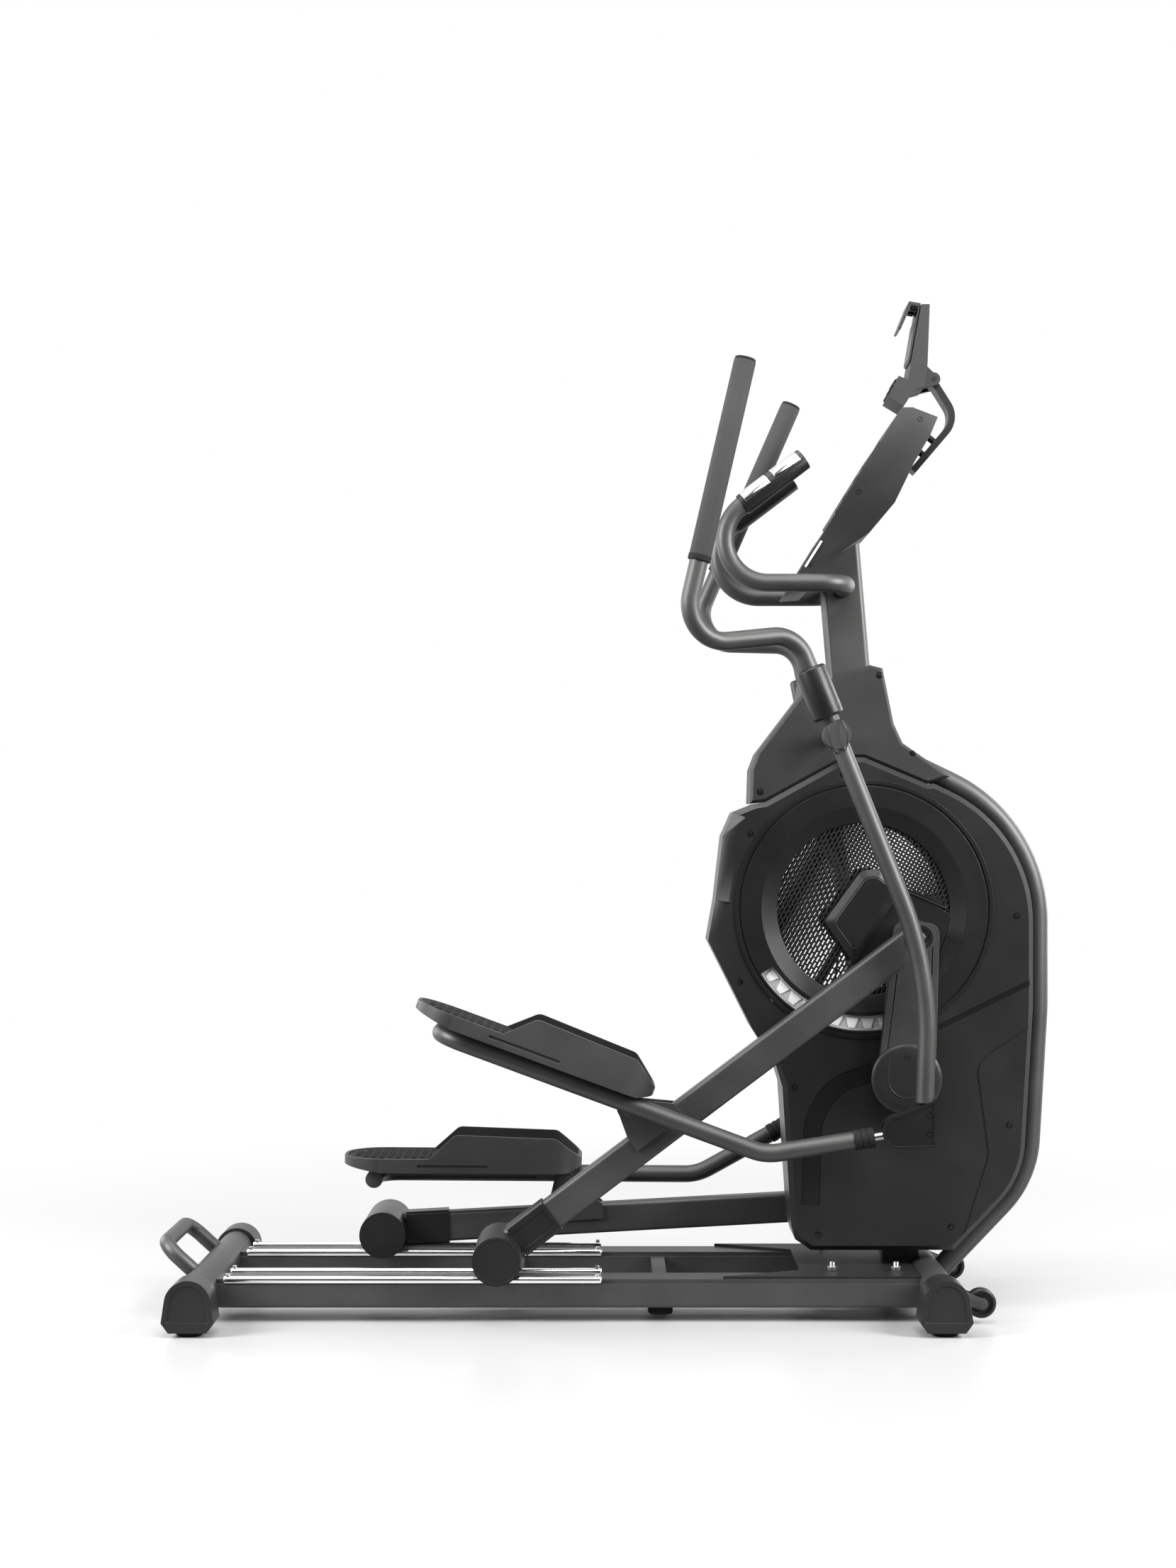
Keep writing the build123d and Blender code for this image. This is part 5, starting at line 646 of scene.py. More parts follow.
def stand_sheet(flat, side):
    lay(flat, RING_CENTRE + Vector((0, side * MESH_FACE_Y, 0)), (math.radians(90), -math.radians(SLOT_ANGLE), 0))
    wall = flat.modifiers.new("wall", "SOLIDIFY")
    wall.thickness = MESH_THICKNESS
    wall.offset = 0
    apply_modifiers(flat)


left_sheet = copy_of(sheet)
for piece, side, name in ((sheet, -1, "right_ring_mesh"), (left_sheet, 1, "left_ring_mesh")):
    stand_sheet(piece, side)
    end_piece(piece, name, BODY_OF["ring_grilles"], "charcoal_plastic", angle=20)
    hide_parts("ring_grilles")

# %% [markdown]
# Round the mesh runs a dished ring: a sloped wall inside, a flat band, and a narrow groove near its rim. Its packed
# solid has long thin triangles that shade badly, so the ring is made again: its outline is drawn once and spun round
# the ring's centre. Over the window's span a second outline with a pocket is spun, and both are merged.

# %% The dished rings
WINDOW_START = 212
WINDOW_SPAN = 72
RING_BODY = BODY_OF["ring_bezels"]
RING_PLAIN = (
    (0.155, 0.060), (0.155, 0.063), (0.184, 0.075), (0.191, 0.075), (0.218, 0.075), (0.221, 0.075), (0.221, 0.072),
    (0.224, 0.072), (0.224, 0.075), (0.232, 0.075), (0.232, 0.060),
)
RING_POCKET = RING_PLAIN[:4] + ((0.191, 0.063), (0.218, 0.063)) + RING_PLAIN[4:]


def draw_points(points, fill):
    start_piece()
    bpy.ops.mesh.primitive_circle_add(vertices=len(points), radius=0.1, fill_type=fill)
    drawn = bpy.context.object
    for vertex, point in zip(drawn.data.vertices, points):
        vertex.co = point
    return drawn


def spin_outline(points, steps, angle):
    outline = draw_points([(radius, 0, level) for radius, level in points], "NOTHING")
    edit_all(outline)
    bpy.ops.mesh.spin(steps=steps, angle=math.radians(angle), center=(0, 0, 0), axis=(0, 0, 1))
    leave_edit()
    return outline


def stand_in_ring(piece, angle, centre=RING_CENTRE):
    return face_outward(lay(piece, centre, (math.radians(90), -math.radians(angle), 0)))


def make_dished_ring():
    plain = spin_outline(RING_PLAIN, 96, 360 - WINDOW_SPAN)
    pocket = spin_outline(RING_POCKET, 24, -WINDOW_SPAN)
    left_turning = sum(v.co.y for v in pocket.data.vertices) < 0
    ring = joined([plain, pocket])
    edit_all(ring)
    bpy.ops.mesh.remove_doubles(threshold=MERGE_GAP)
    pick_all("DESELECT")
    pick_kind("EDGE")
    bpy.ops.mesh.select_non_manifold()
    bpy.ops.mesh.fill_holes(sides=4)
    leave_edit()
    stand_in_ring(ring, WINDOW_START + WINDOW_SPAN if left_turning else WINDOW_START)
    return soften(ring, 0.0009, angle=20)


end_both(make_dished_ring(), "dished_ring", RING_BODY, "charcoal_plastic", FINISH["black_plastic"])
replace_both("ring_bezels")

# %% [markdown]
# Low in the ring sits a bright curved strip: a silver tray with a rim, and a row of white blocks that taper outward.
# A curve with a bevel would leave a soft rim. Here a small rectangle is spun round the ring's centre, its outer face
# is drawn in and sunk, and one block is modelled and copied round at equal angles.

# %% The silver tray
WINDOW_RADII = (0.1914, 0.2176)
WINDOW_LEVELS = (0.0632, 0.0672)
WINDOW_BLOCKS = 9
TRAY_DEPTH = 0.0018
BLOCK_SIZE = (0.0186, 0.0225)
make_finish("window_white", (0.72, 0.72, 0.71), 0.35, grain=1200, depth=0.01, spread=0.06)


def make_window_tray():
    size = (WINDOW_RADII[1] - WINDOW_RADII[0], WINDOW_LEVELS[1] - WINDOW_LEVELS[0])
    tray = add_sheet((sum(WINDOW_RADII) / 2, 0, sum(WINDOW_LEVELS) / 2), size, (math.radians(90), 0, 0))
    edit_all(tray)
    bpy.ops.mesh.spin(steps=40, angle=math.radians(WINDOW_SPAN), center=(0, 0, 0), axis=(0, 0, 1))
    pick_all()
    bpy.ops.mesh.remove_doubles(threshold=0.00001)
    bpy.ops.mesh.normals_make_consistent(inside=False)
    leave_edit()
    sink(tray, facing(0, 0, 1), 0.0022, TRAY_DEPTH)
    return soften(tray, 0.0003)


tray = make_window_tray()
turned = sum(v.co.y for v in tray.data.vertices) > 0
stand_in_ring(tray, WINDOW_START if turned else WINDOW_START + WINDOW_SPAN)
end_both(tray, "window_tray", RING_BODY, "silver_plastic")
replace_both("window_inserts")

# %% The white blocks
def make_window_block():
    middle = sum(WINDOW_RADII) / 2
    block = add_sheet((middle, 0, WINDOW_LEVELS[1] - TRAY_DEPTH), BLOCK_SIZE)
    edit_all(block)
    pick_kind("VERT")
    pick_all("DESELECT")
    leave_edit()
    for vertex in block.data.vertices:
        vertex.select = vertex.co.x > middle
    enter_edit()
    bpy.ops.transform.resize(value=(1, 0.5, 1), center_override=(middle, 0, 0))
    pick_all()
    pull_up(0.0016)
    leave_edit()
    return soften(block, 0.0005)


def spread_blocks(block):
    row = []
    pitch = WINDOW_SPAN / WINDOW_BLOCKS
    for i in range(WINDOW_BLOCKS):
        one = copy_of(block)
        stand_in_ring(one, WINDOW_START + pitch * (i + 0.5))
        row.append(one)
    bpy.data.objects.remove(block)
    return joined(row)


end_both(spread_blocks(make_window_block()), "window_blocks", RING_BODY, "silver_plastic", FINISH["window_white"])

# %% [markdown]
# In the ring's middle sits a housing: a thin panel that widens to the ring's lower front, and on it a block with sloped
# shoulders and a fine line round its face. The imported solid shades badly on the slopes, so both are made again from
# their outlines: a disc's corners are moved to the outline, and the face is pulled up and drawn in step by step.

# %% Hub panels
HUB_BLOCK = ((-0.0705, -0.022), (-0.0165, -0.098), (0.0705, 0.039), (0.0255, 0.073), (-0.0045, 0.069))
PANEL_RADIUS = 0.1543
PANEL_ARC = [math.radians(-68 + 3.25 * i) for i in range(21)]
HUB_PANEL = (
    *HUB_BLOCK[:2], (0.0290, -0.0718), *[(PANEL_RADIUS * math.cos(a), PANEL_RADIUS * math.sin(a)) for a in PANEL_ARC],
    *HUB_BLOCK[2:],
)
PANEL_LEVEL = 0.0602
HUB_BODY = BODY_OF["hub_covers"]
HUB_BLOCK_LEVEL = 0.0638
HUB_STEPS = ((0.0125, 0.0068), (0.0013, -0.0007), (0.0013, 0.0012))
RIDGE_START = Vector((0.076, 0.0345, 0.0650))
RIDGE_END = Vector((0.149, 0.0035, 0.0650))


def draw_plate(points, level):
    plate = draw_points([(*point, level) for point in points], "NGON")
    plate.data.update()
    edit_all(plate)
    if plate.data.polygons[0].normal.z < 0:
        bpy.ops.mesh.flip_normals()
    return plate


def make_hub_panel():
    panel = draw_plate(HUB_PANEL, PANEL_LEVEL)
    pull_up(0.0038)
    leave_edit()
    stand_in_ring(soften(panel, 0.0012), 0)
    return panel


end_both(make_hub_panel(), "hub_panel", HUB_BODY, "black_plastic")

# %% Hub blocks and the ridge on the panel
def make_hub_block():
    block = draw_plate(HUB_BLOCK, HUB_BLOCK_LEVEL)
    pull_up(0.0034)
    for drawn_in, rise in HUB_STEPS:
        bpy.ops.mesh.inset(thickness=drawn_in, depth=rise)
    pick_edges(block, lambda start, end: abs(start.z - end.z) > 0.0001)
    bpy.ops.mesh.bevel(offset=0.008, segments=6, affect="EDGES")
    leave_edit()
    stand_in_ring(soften(block, 0.0006, segments=2, angle=18), 0)
    return block


def make_hub_ridge():
    run = RIDGE_END - RIDGE_START
    ridge = add_box((0, 0, 0), (run.length, 0.0064, 0.0026))
    sink(ridge, facing(0, 0, 1), 0.0017, 0.0011)
    soften(ridge, 0.0006)
    lay(ridge, (RIDGE_START + RIDGE_END) / 2, (0, 0, math.atan2(run.y, run.x)))
    return stand_in_ring(ridge, 0)


end_both(make_hub_block(), "hub_block", HUB_BODY, "black_plastic")
end_both(make_hub_ridge(), "hub_ridge", HUB_BODY, "black_plastic")
replace_both("hub_covers")
replace_both("hub_covers")

# %% [markdown]
# A shallow dome closes each crank's root. Its outline is spun round the axle. The arm's raised edge runs on over the
# dome as a U: half a ring, spun from a small circle, with a straight rod at each end.

# %% Domes on the cranks
CRANK_PLACE = (0.5295, 0, 0.4185)
CRANK_LEAN = -4.1
DOME = (
    (0.0, 0.1031), (0.063, 0.1031), (0.063, 0.1056), (0.0612, 0.1078), (0.0560, 0.1098), (0.0440, 0.1112),
    (0.0280, 0.1120), (0.0, 0.1121),
)
EDGE_RADIUS = 0.0335
EDGE_LEVEL = 0.1116
EDGE_THICK = 0.0011


def make_crank_dome():
    dome = spin_outline(DOME, 96, 360)
    edit_all(dome)
    bpy.ops.mesh.remove_doubles(threshold=MERGE_GAP)
    leave_edit()
    return stand_in_ring(dome, 0, CRANK_PLACE)


def make_crank_edge():
    start_piece()
    bpy.ops.mesh.primitive_circle_add(vertices=12, radius=EDGE_THICK, location=(EDGE_RADIUS, 0, EDGE_LEVEL),
                                      rotation=(math.radians(90), 0, 0))
    half = bpy.context.object
    bpy.ops.object.transform_apply(location=True, rotation=True, scale=True)
    edit_all(half)
    bpy.ops.mesh.spin(steps=28, angle=math.radians(180), center=(0, 0, 0), axis=(0, 0, 1))
    leave_edit()
    legs = -0.040 if sum(v.co.y for v in half.data.vertices) > 0 else 0.040
    rods = [add_rod((x, 0, EDGE_LEVEL), (x, legs, EDGE_LEVEL - 0.0012), EDGE_THICK, sides=12)
            for x in (-EDGE_RADIUS, EDGE_RADIUS)]
    return joined([half, *rods]), (0 if legs > 0 else 180)


CRANK_BODY = BODY_OF["crank_caps"]
end_both(make_crank_dome(), "crank_dome", CRANK_BODY, "charcoal_plastic")
edge, turn = make_crank_edge()
left_edge = copy_of(edge)
stand_in_ring(edge, CRANK_LEAN + turn, CRANK_PLACE)
stand_in_ring(left_edge, CRANK_LEAN + turn + 180, CRANK_PLACE)
end_piece(to_left(left_edge), "left_crank_edge", CRANK_BODY, "charcoal_plastic")
bpy.data.objects.remove(left_edge)
end_piece(edge, "right_crank_edge", CRANK_BODY, "charcoal_plastic")
replace_both("crank_caps")
for side, _ in SIDES:
    dressed[side + "_crank_dome"] = bpy.data.objects[side + "_crank_dome"]

# %% [markdown]
# Two sunk lines cross each side cover: a straight step in front and a curved sweep at the lower rear. Their floors lie
# in the shade on the machine, and that shade is painted on: the floors get the near-black finish as painted shade.

# %% Painted shade on the floors of the sunk lines
STEP_LINE = ((0.7575, 0.589), (0.5895, 0.507))
SWEEP_LINE = ((0.4735, 0.428), (0.3975, 0.401), (0.3655, 0.339), (0.3615, 0.189))
STEP_REACH = 0.0065
STEP_AREA = 0.003
SWEEP_REACH = 0.022
SWEEP_FLOOR_Y = 0.0705


def off_line(point, line):
    spot = Vector((point.x, point.z))
    gaps = []
    for start, end in zip(line, line[1:]):
        start, run = Vector(start), Vector(end) - Vector(start)
        share = min(1, max(0, (spot - start).dot(run) / run.length_squared))
        gaps.append((spot - start - run * share).length)
    return min(gaps)


def paint_faces(piece, finish, test):
    piece.data.materials.append(finish)
    count = 0
    for face in piece.data.polygons:
        if test(face):
            face.material_index = len(piece.data.materials) - 1
            count += 1
    return count


def step_floor_shade(face):
    return off_line(face.center, STEP_LINE) < STEP_REACH and face.area < STEP_AREA


def sweep_floor_shade(face):
    return off_line(face.center, SWEEP_LINE) < SWEEP_REACH and abs(abs(face.center.y) - SWEEP_FLOOR_Y) < 0.0003


# The floors of the step and the sweep get the near-black finish as painted shade.
for side, _ in SIDES:
    cover = dressed[side + "_side_cover"]
    for floor in (step_floor_shade, sweep_floor_shade):
        print(side, "floor faces:", paint_faces(cover, FINISH["satin_black"], floor))

# %% [markdown]
# The screws of the covers sit at the bottom of narrow wells, which show as black dots. A spot is kept for
# every screw head, and the walls round it get the darkest finish as painted shade.

# %% Painted shade in the wells of the cover screws
WELL_RADIUS = 0.0068


def find_spots(piece):
    spots = []
    for face in piece.data.polygons:
        if all((face.center - spot).length > 0.02 for spot in spots):
            spots.append(face.center.copy())
    return spots


def well_wall_shade(face):
    near = [spot for spot in screw_spots if spot.y * face.center.y > 0]
    return face.area < 0.0003 and min((spot - face.center).xz.length for spot in near) < WELL_RADIUS


screw_spots = find_spots(dressed["cover_screws"])
# The walls round each screw get the near-black finish as painted shade.
for node in ("right_side_cover", "left_side_cover", "neck_covers"):
    print(node, "well faces:", paint_faces(dressed[node], FINISH["satin_black"], well_wall_shade))

# %% [markdown]
# Countersunk screws hold the mouldings together, and each shows as a small dark cup. One cup is modelled: a short drum
# with its face drawn in and sunk. A straight line is shot at the dressed piece to find the spot, so that every cup
# sits on the real surface and looks the same way as it does.

# %% One screw cup
CUP_RADIUS = 0.0045
CUP_HEIGHT = 0.0024
CUP_PROUD = 0.0007


def make_screw_cup():
    cup = add_rod((0, 0, -CUP_HEIGHT), (0, 0, 0), CUP_RADIUS, sides=20)
    sink(cup, facing(0, 0, 1), 0.0008, 0.0012)
    sink(cup, lambda face: face.normal.z > 0.95 and len(face.vertices) > 8, 0.0009, 0.0006)
    return soften(cup, 0.0002)


def touch(node, start, aim):
    bpy.context.view_layer.update()
    solid = dressed[node].evaluated_get(bpy.context.evaluated_depsgraph_get())
    found, place, normal = solid.ray_cast(Vector(start), Vector(aim))[:3]
    if not found:
        raise ValueError("nothing to sit on: " + node + " " + str(start))
    return place, normal


def set_on(piece, node, start, aim, proud):
    place, normal = touch(node, start, aim)
    return lay(copy_of(piece), place + normal * proud, normal.to_track_quat("Z", "Y").to_euler())


screw_cup = make_screw_cup()
print("cup faces:", len(screw_cup.data.polygons))

# %% Screws on the console, the clevises and the crank discs
CONSOLE_SCREWS = ((0.5456, 1.580), (0.440, 1.455), (0.356, 1.331))
CLEVIS_SCREWS = ((0.0545, -0.6743), (0.0480, -0.7067))
DISC_SCREW_RISE = 0.038
SHOT_START = 0.4

for side, sign in SIDES:
    aim = (0, -sign, 0)
    row = [set_on(screw_cup, "console_housing", (x, sign * SHOT_START, z), aim, CUP_PROUD) for x, z in CONSOLE_SCREWS]
    end_piece(joined(row), side + "_console_screws", BODY_OF["console_housing"], "satin_black")
    x0, z0, angle = REST[side]["swing"]
    turn = math.radians(angle)
    row = []
    for x, z in CLEVIS_SCREWS:
        along, rise = x * math.cos(turn) - z * math.sin(turn), x * math.sin(turn) + z * math.cos(turn)
        spot = (x0 + along, sign * SHOT_START, z0 + rise)
        row.append(set_on(screw_cup, side + "_swing_arm", spot, aim, CUP_PROUD))
    end_piece(joined(row), side + "_clevis_screws", BODY_OF[side + "_swing_arm"], "satin_black")
    rise = -sign * DISC_SCREW_RISE
    spot = (CRANK_PLACE[0], sign * SHOT_START, CRANK_PLACE[2] + rise)
    disc = set_on(screw_cup, side + "_crank_dome", spot, aim, CUP_PROUD)
    end_piece(disc, side + "_disc_screw", CRANK_BODY, "satin_black")
bpy.data.objects.remove(screw_cup)

# %% [markdown]
# Where the ramp arm meets the crank, a domed cap with a socket bolt closes the bearing. The cap is a drum, rounded at
# its rim and sunk in the middle, and the bolt is a hexagon with its own socket.

# %% Crank bearing caps
RAMP_LENGTH = 0.929
BOSS_FACE_Y = -0.1554
CAP_RADIUS = 0.0215
BOLT_RADIUS = 0.0078


def make_bearing_cap():
    cap = add_rod((RAMP_LENGTH, BOSS_FACE_Y + 0.0005, 0), (RAMP_LENGTH, BOSS_FACE_Y - 0.0038, 0), CAP_RADIUS,
                  sides=56)
    sink(cap, facing(0, -1, 0), 0.0065, 0.0016)
    return soften(cap, 0.0012, segments=3)


def make_socket_bolt(start, end, radius):
    bolt = add_rod(start, end, radius, sides=6)
    aim = Vector(end) - Vector(start)
    sink(bolt, facing(*aim), radius * 0.42, 0.0016)
    return soften(bolt, 0.0005)


end_pair(make_bearing_cap(), "bearing_cap", "ramp", "ramp_arm", "black_plastic")
bolt = make_socket_bolt((RAMP_LENGTH, BOSS_FACE_Y, 0), (RAMP_LENGTH, BOSS_FACE_Y - 0.0052, 0), BOLT_RADIUS)
end_pair(bolt, "bearing_bolt", "ramp", "ramp_arm", "bright_steel")

# %% [markdown]
# The foot bar ends in a rubber boot, and out of it comes the bright shank of the ball joint. The boot is a drum with
# two grooves pressed into it: its wall is cut across by planes and the thin bands between them are drawn in.

# %% Boots on the foot bars
JOINT = Vector((0.45817, -0.185, 0.12534))
SHANK_RUN = Vector((0.8721, 0, 0.4895))
BOOT_START = 0.082
BOOT_END = 0.047
BOOT_RADIUS = 0.0178
BOOT_GROOVES = ((0.3, 0.4), (0.6, 0.7))


def in_groove(face):
    share = (face.center - JOINT).dot(SHANK_RUN) + BOOT_START
    share /= BOOT_START - BOOT_END
    return any(low < share < high for low, high in BOOT_GROOVES)


def make_boot():
    start = JOINT - SHANK_RUN * BOOT_START
    end = JOINT - SHANK_RUN * BOOT_END
    boot = add_rod(start, end, BOOT_RADIUS, sides=48)
    for share in sum(BOOT_GROOVES, ()):
        cut(boot, start.lerp(end, share), SHANK_RUN)
    pick_faces(boot, in_groove)
    bpy.ops.mesh.inset(thickness=0.0004, depth=-0.0012)
    leave_edit()
    return soften(boot, 0.0008)


end_pair(make_boot(), "bar_boot", "link", "foot_bar", "rubber")

# %% [markdown]
# One finish can't serve a whole arm: its tube is painted, but the clevis at its foot is moulded in black, and the
# joint's shank is bright steel. The faces are picked by their place on the arm and get a second material.

# %% Second finishes on the arms
SWING_LENGTH = 0.701
CLEVIS_TOP = 0.0505
SHANK_REACH = 0.0452
for side, _ in SIDES:
    arm = dressed[side + "_swing_arm"]
    clevis = lambda face: on_arm(face.center, side, "swing")[1] < -SWING_LENGTH + CLEVIS_TOP
    bar = dressed[side + "_foot_bar"]
    shank = lambda face: on_arm(face.center, side, "link")[0] > JOINT.x - SHANK_REACH
    print(side, "clevis faces:", paint_faces(arm, FINISH["black_plastic"], clevis),
          "shank faces:", paint_faces(bar, FINISH["bright_steel"], shank))

# %% [markdown]
# The long grips end in a domed rubber plug and start at a rolled collar. Both are short drums on the grip's own line.

# %% Plugs and collars of the long grips
GRIP_TOP = Vector((-0.0607, -0.268, 0.6541))
GRIP_RUN = Vector((0.3773, 0, 0.9261))
GRIP_LENGTH = 0.350
PLUG_RADIUS = 0.0182
COLLAR_RADIUS = 0.0199


def make_grip_plug():
    plug = add_rod(GRIP_TOP - GRIP_RUN * 0.004, GRIP_TOP + GRIP_RUN * 0.0045, PLUG_RADIUS, sides=48)
    soften(plug, 0.0032, segments=4)
    return sink(plug, lambda face: face.normal.dot(GRIP_RUN) > 0.99 and len(face.vertices) > 8, 0.003, 0.0008)


def make_grip_collar():
    low = GRIP_TOP - GRIP_RUN * GRIP_LENGTH
    collar = add_rod(low - GRIP_RUN * 0.0015, low + GRIP_RUN * 0.010, COLLAR_RADIUS, sides=48)
    return soften(collar, 0.0022, segments=3)


end_pair(make_grip_plug(), "grip_plug", "swing", "swing_grip", "rubber")
end_pair(make_grip_collar(), "grip_collar", "swing", "swing_grip", "rubber")

# %% [markdown]
# A round cover hides the swing arm's hub, with two curved seams where its halves meet. Each seam is a thin ring laid on
# the ball, and a plane cuts away the part that would lie inside the sleeve.

# %% Seams of the pivot balls
BALL_RADIUS = 0.034
SEAM_TURNS = (28, -28)
SLEEVE_RUN = Vector((-0.2228, 0, 0.9749))
SLEEVE_START = 0.021


def make_ball_seams():
    seams = []
    for turn in SEAM_TURNS:
        seam = add_ring((0, JOINT.y, 0), BALL_RADIUS - 0.0001, 0.0010, (72, 8),
                        (0, math.radians(90), math.radians(turn)))
        seams.append(cut(seam, SLEEVE_RUN * SLEEVE_START, SLEEVE_RUN, clear_outer=True, use_fill=True))
    return joined(seams)


end_pair(make_ball_seams(), "ball_seams", "swing", "pivot_cover", "satin_black")

# %% [markdown]
# Moulded parts have a shallow field inside a raised rim. The outer faces of the clevis and of the roller housing's disc
# and sleeve are drawn in and sunk by a millimetre, which takes two insets and leaves a clean rim.

# %% Rims on the clevises and roller housings
FIELD_TOP = 0.05
CLEVIS_FACE_Y = 0.205
HOUSING_FIELDS = ((0.2145, 1, 0.001, 0.004, 0.0010), (0.156, 0.158, 0.0005, 0.006, 0.0012))
for side, sign in SIDES:
    arm = dressed[side + "_swing_arm"]

    def on_clevis(face):
        low = on_arm(face.center, side, "swing")[1] < -SWING_LENGTH + FIELD_TOP
        outer = face.normal.y * sign > 0.99 and abs(abs(face.center.y) - CLEVIS_FACE_Y) < 0.0003
        return low and outer and face.area > 0.0004

    sink(arm, on_clevis, 0.0045, 0.0012)
    housing = dressed[side + "_roller_housing"]
    for low, high, area, margin, depth in HOUSING_FIELDS:
        sink(housing, lambda face: face.normal.y * sign > 0.99 and low < abs(face.center.y) < high and face.area > area,
             margin, depth)
    shade(arm, True)
    shade(housing, True)
    print(side, "clevis and housing rims:", len(arm.data.polygons), len(housing.data.polygons), "faces")

# %% [markdown]
# The pedal's tray leans its guard walls inward, so that they catch the light from above, and its floor is a rubber mat
# with rows of small six-sided studs. The walls of the dressed copy are pulled in, more the higher they stand.
# The mat is a sheet with rounded corners, pulled up to its thickness, and one stud is modelled and copied over it.

# %% Lean the guard walls
PEDAL_LINE_Y = 0.1345
PEDAL_LIP_Z = 0.0508
GUARD_LEAN = 0.34
GUARD_HEIGHT = 0.043


def lean_walls(piece, side):
    sign = -1 if side == "right" else 1
    for vertex in piece.data.vertices:
        height = on_arm(vertex.co, side, "link")[1] - PEDAL_LIP_Z
        if height > 0:
            offset = vertex.co.y - sign * PEDAL_LINE_Y
            vertex.co.y -= math.copysign(height * GUARD_LEAN, offset)
    shade(piece, True)


for side, _ in SIDES:
    lean_walls(dressed[side + "_pedal"], side)
print("guard walls lean in by", round(GUARD_LEAN * GUARD_HEIGHT * 1000, 1), "mm at the top")

# %% Rubber mats
DECK_Z = 0.0468
MAT_THICKNESS = 0.0027
MAT_MIDDLE = (-0.1905, -PEDAL_LINE_Y)
MAT_SIZE = (0.418, 0.146)
MAT_CORNER = 0.060


def make_mat():
    mat = add_sheet((*MAT_MIDDLE, DECK_Z), MAT_SIZE)
    edit_all(mat)
    bpy.ops.mesh.bevel(offset=MAT_CORNER, segments=10, affect="VERTICES")
    pick_all()
    pull_up(MAT_THICKNESS)
    return soften(face_outward(mat), 0.0006)


end_pair(make_mat(), "pedal_mat", "link", "pedal", "rubber")

# %% Studs on the mats
STUD_RADIUS = 0.0066
STUD_PITCH = (0.0150, 0.0148)
STUD_EDGE = STUD_RADIUS * 1.4


def make_stud():
    low = DECK_Z + MAT_THICKNESS - 0.0006
    stud = add_rod((0, 0, low), (0, 0, low + 0.0022), STUD_RADIUS, sides=6)
    sink(stud, facing(0, 0, 1), 0.0022, 0.0009)
    return stud


def stud_fits(x, y):
    half_x = MAT_SIZE[0] / 2 - STUD_EDGE
    half_y = MAT_SIZE[1] / 2 - STUD_EDGE
    over_x = abs(x) - (half_x - MAT_CORNER + STUD_RADIUS)
    over_y = abs(y) - (half_y - MAT_CORNER + STUD_RADIUS)
    if over_x > 0 and over_y > 0:
        return math.hypot(over_x, over_y) < MAT_CORNER - STUD_RADIUS
    return abs(x) < half_x and abs(y) < half_y


def spread_studs(stud):
    row = []
    for i in range(-14, 15):
        for j in range(-5, 6):
            x = i * STUD_PITCH[0]
            y = (j + 0.5 * (i % 2)) * STUD_PITCH[1]
            if stud_fits(x, y):
                one = copy_of(stud)
                one.location = (MAT_MIDDLE[0] + x, MAT_MIDDLE[1] + y, 0)
                row.append(one)
    bpy.data.objects.remove(stud)
    return joined(row)


end_pair(spread_studs(make_stud()), "pedal_studs", "link", "pedal", "rubber")

# %% [markdown]
# The console leans towards the user. Its face carries the display in a raised frame, rims round the keys and
# plain readout fields. They are modelled flat, with the face's lower edge at the origin, and then leaned and lifted
# onto the face. A silver clip on each side of the chin follows the flank, which widens upward.

# %% Face of the console
FACE_LOW = Vector((0.317, 0, 1.285))
FACE_RUN = Vector((0.529035, 0, 0.848604))
FACE_TURN = math.atan2(FACE_RUN.z, FACE_RUN.x)
SCREEN_ALONG = 0.235
SCREEN_SIZE = (0.120, 0.210)
FRAME_MARGIN = 0.030
FRAME_THICK = 0.0024
KEY_ALONG = 0.125
KEY_PLACES = (-0.0225, 0.0225)
KEY_RADIUS = 0.0093
CONSOLE_BODY = BODY_OF["console_housing"]


def lay_on_face(piece):
    return lay(piece, FACE_LOW, (0, -FACE_TURN, 0))


def make_display_frame():
    size = (SCREEN_SIZE[0] + FRAME_MARGIN, SCREEN_SIZE[1] + FRAME_MARGIN, FRAME_THICK)
    frame_plate = add_box((SCREEN_ALONG, 0, size[2] / 2 - 0.0004), size)
    pick_faces(frame_plate, lambda face: abs(face.normal.z) > 0.9)
    bpy.ops.mesh.inset(thickness=0.0152)
    bpy.ops.mesh.delete(type="FACE")
    pick_kind("EDGE")
    pick_all("DESELECT")
    bpy.ops.mesh.select_non_manifold()
    bpy.ops.mesh.bridge_edge_loops()
    return soften(face_outward(frame_plate), 0.0007)


end_piece(lay_on_face(make_display_frame()), "display_frame", CONSOLE_BODY, "satin_black")

# %% Readout fields and rims of the keys
make_finish("readout", (0.10, 0.13, 0.15), 0.2, grain=400, depth=0.002, spread=0.25, cloud=60)


def make_readout():
    fields = [(along, across, 0.026, 0.054) for along in (-0.030, 0.008) for across in (-0.066, 0, 0.066)]
    row = []
    for along, across, height, width in (*fields, (0.042, 0, 0.014, 0.186)):
        field = add_box((SCREEN_ALONG + along, across, 0.0002), (height, width, 0.0008))
        row.append(sink(field, facing(0, 0, 1), 0.0012, 0.0002))
    return joined(row)


def make_key_rims():
    rims = []
    for across in KEY_PLACES:
        rim = add_ring((KEY_ALONG, across, 0.0002), KEY_RADIUS + 0.0021, 0.0012, (40, 10))
        rims.append(cut(rim, (0, 0, -0.0004), (0, 0, 1), clear_inner=True, use_fill=False))
    return joined(rims)


end_piece(lay_on_face(make_readout()), "display_fields", CONSOLE_BODY, "screen_glass", FINISH["readout"])
end_piece(lay_on_face(make_key_rims()), "key_rims", CONSOLE_BODY, "silver_plastic")

